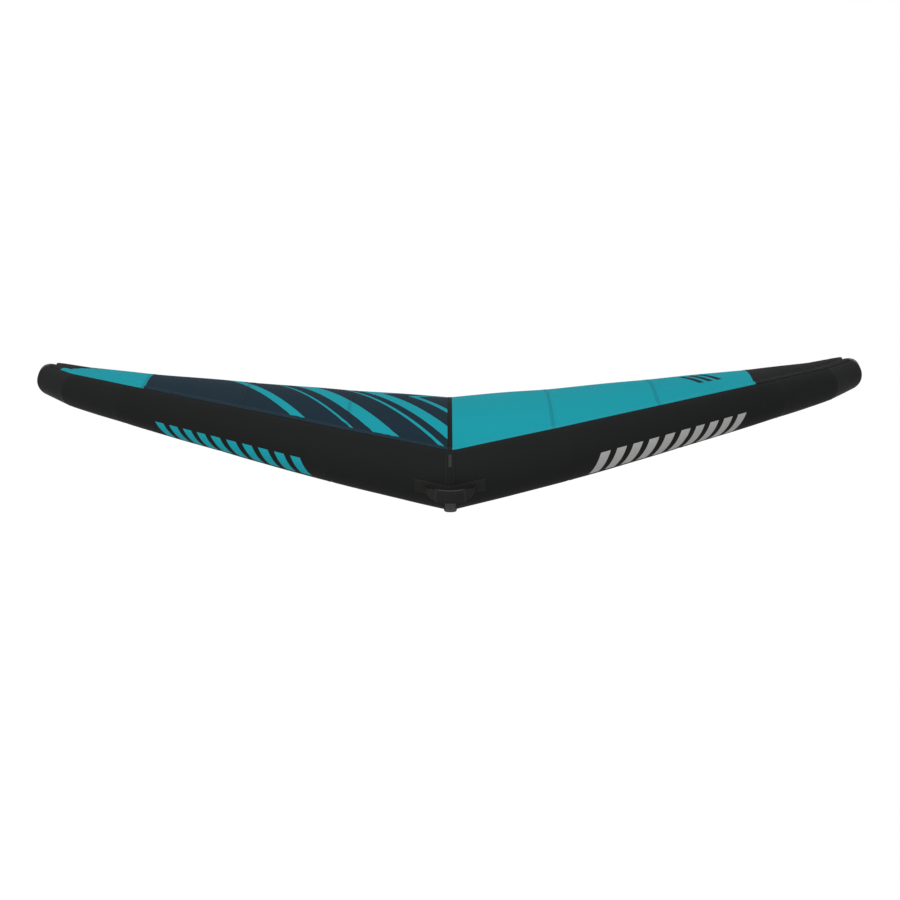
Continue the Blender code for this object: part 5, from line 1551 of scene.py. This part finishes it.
leash = dress("leash_tab_webbing", belly_strip(tab_line(), 0.011, LEASH_PLACE), TAB_WEBBING, "webbing", "airframe", "leash_tab")
thicken(leash, 0.0024, 0.0, 0.0005)

# %% [markdown]
# A hose carries air from the leading edge to the strut, so that one valve fills both. It
# leaves its fitting straight, swings in one bend and enters the strut from the side. A
# curve with a round bevel is the natural tool: its own line is the hose's centre.

# %% Connecting hose
HOSE_RADIUS = 0.008
HOSE_BACK = 0.31
HOSE_RISE = 0.0113
HOSE_STRAIGHT = 0.036
HOSE_LEAD_OUT, HOSE_LEAD_IN = 0.095, 0.075


def hose_route():
    wall = tube_skin(run_at(HOSE_ACROSS), math.pi / 2)
    start = wall + Vector((0, HOSE_RISE, 0))
    end = strut_skin(HOSE_BACK, -math.pi / 2) - Vector((HOSE_RISE, 0, 0))
    bend = start + Vector((0, HOSE_STRAIGHT, 0))
    hold = (bend, bend + Vector((0, HOSE_LEAD_OUT, 0)), end - Vector((HOSE_LEAD_IN, 0, 0)), end)
    points = [start, mix(start, bend, 0.5)]
    for step in range(25):
        t, rest = step / 24, 1 - step / 24
        points.append(hold[0] * rest ** 3 + hold[1] * 3 * rest ** 2 * t + hold[2] * 3 * rest * t ** 2 + hold[3] * t ** 3)
    return points


def rubber():
    recipe = Recipe("hose rubber", 0.42, 0.35)
    bloom = recipe.noise(30, 5)
    colour = recipe.shaded((0.020, 0.021, 0.022), recipe.spread(bloom, 0.85, 1.3))
    return recipe.done(colour, recipe.spread(bloom, 0.34, 0.58), recipe.noise(300, 2), 0.0003, 0.4)


def make_hose():
    route = hose_route()
    curve = bpy.data.curves.new("air_hose", "CURVE")
    curve.dimensions = "3D"
    curve.bevel_depth, curve.bevel_resolution, curve.use_fill_caps = HOSE_RADIUS, 6, True
    spline = curve.splines.new("POLY")
    spline.points.add(len(route) - 1)
    for spot, point in zip(spline.points, route):
        spot.co = (*point, 1)
    spline.use_smooth = True
    hose = bpy.data.objects.new("air_hose", curve)
    bpy.context.scene.collection.objects.link(hose)
    curve.materials.append(rubber())
    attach(hose, "airframe")
    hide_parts("connecting_hose")
    length = sum((b - a).length for a, b in zip(route, route[1:]))
    tuple(route[0])
    print("hose", round(length, 3), "m long")


make_hose()

# %% [markdown]
# A zip on the back of the second left panel lets the bladder out for repair. Its tape lies
# on the sleeve, and its coil is two rows of small teeth that mesh in the middle. Each tooth
# is a bevelled block of a few faces, since there are nearly two hundred of them.

# %% Zip tape and teeth
ZIP_START, ZIP_END = 1.14, 1.88
ZIP_ANGLE, ZIP_HALF_TURN = math.radians(97), math.radians(9)
ZIP_LIFT, ZIP_THICK = 0.0022, 0.0010
TOOTH = Vector((0.0015, 0.0030, 0.0012))
TOOTH_PITCH = 0.0036
TOOTH_EDGE = 0.0003


def zip_spot(along, over, lift):
    return tube_skin(-mix(ZIP_START, ZIP_END, along), ZIP_ANGLE + ZIP_HALF_TURN * (2 * over - 1), lift)


def zip_row():
    start, end = zip_spot(0, 0.5, ZIP_LIFT + ZIP_THICK), zip_spot(1, 0.5, ZIP_LIFT + ZIP_THICK)
    run = (end - start).normalized()
    out = zip_spot(0.5, 0.5, 0.02) - zip_spot(0.5, 0.5, 0.0)
    out = (out - out.dot(run) * run).normalized()
    turn = Matrix((run, out.cross(run), out)).transposed().to_4x4()
    bm = bmesh.new()
    bm.loops.layers.uv.new(CUT_MAP)
    count = int((end - start).length / TOOTH_PITCH)
    for number in range(count):
        side = 1 if number % 2 else -1
        spot = start + run * TOOTH_PITCH * (number + 0.5) + turn.to_3x3() @ Vector((0, side * TOOTH.y * 0.32, 0))
        size = Matrix.Diagonal((*TOOTH, 1))
        bmesh.ops.create_cube(bm, size=1, matrix=Matrix.Translation(spot) @ turn @ size)
    bmesh.ops.bevel(bm, geom=list(bm.edges), offset=TOOTH_EDGE, segments=1, profile=0.5, affect="EDGES", material=-1)
    return bm


def make_zip():
    length = (zip_spot(1, 0.5, 0) - zip_spot(0, 0.5, 0)).length
    bm = laid_grid(60, 8, lambda along, over: zip_spot(along, over, ZIP_LIFT),
                   lambda along, over: (length * along, 0.030 * (over - 0.5)))
    tape = dress("zip_cloth", bm, tape_cloth("zip tape cloth", 0.030), "webbing", "airframe", "zip_tape")
    thicken(tape, ZIP_THICK, faces_towards(tape, Vector((0, 1, 0))), 0.0003)
    return dress("zip_teeth", zip_row(), PLAIN_SLEEVE, "moulded_plastic", "airframe")


make_zip()

# %% [markdown]
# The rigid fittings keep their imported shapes: valve, elbows, clip, ring, slider and
# battens. They get moulded, brushed and pultruded finishes from noises on the object's own
# coordinates, because their meshes have no flat measures.

# %% Finishes for the rigid fittings
PLASTIC = (0.018, 0.018, 0.019)
STEEL = (0.60, 0.60, 0.59)
FIBRE = (0.30, 0.31, 0.25)


def moulded():
    recipe = Recipe("moulded plastic", 0.44, 0.4)
    pebble = recipe.noise(600, 2)
    rubbed = recipe.noise(45, 5)
    colour = recipe.shaded(PLASTIC, recipe.spread(rubbed, 0.85, 1.35))
    return recipe.done(colour, recipe.spread(rubbed, 0.36, 0.56), pebble, 0.0002, 0.5)


def brushed():
    recipe = Recipe("brushed steel", 0.25, 0.5)
    recipe.shader.inputs["Metallic"].default_value = 1.0
    grain = recipe.noise(500, 3, (0.06, 1, 1))
    colour = recipe.shaded(STEEL, recipe.spread(grain, 0.88, 1.08))
    return recipe.done(colour, recipe.spread(grain, 0.18, 0.36), grain, 0.0001, 0.4)


def pultruded():
    recipe = Recipe("batten fibre", 0.38, 0.45)
    strands = recipe.noise(900, 3, (1, 0.02, 1))
    colour = recipe.shaded(FIBRE, recipe.spread(strands, 0.75, 1.2))
    return recipe.done(colour, recipe.spread(strands, 0.3, 0.46), strands, 0.0002, 0.4)


FITTING_FINISHES = {
    moulded(): ["valve_body", "valve_cap", "tube_hose_fitting", "strut_hose_fitting", "hose_clip", "hose_clip_lever"],
    brushed(): ["leash_ring", "zip_slider"],
    pultruded(): [f"batten_{n}_{side}" for n in (1, 2) for side in ("right", "left")],
    FILM_FINISH: ["valve_flap"],
}
for finish, names in FITTING_FINISHES.items():
    for name in names:
        node = frame["nodes"][name]
        node.data.materials.clear()
        node.data.materials.append(finish)
        node.data.shade_flat()
print("finished", sum(len(names) for names in FITTING_FINISHES.values()), "rigid nodes")
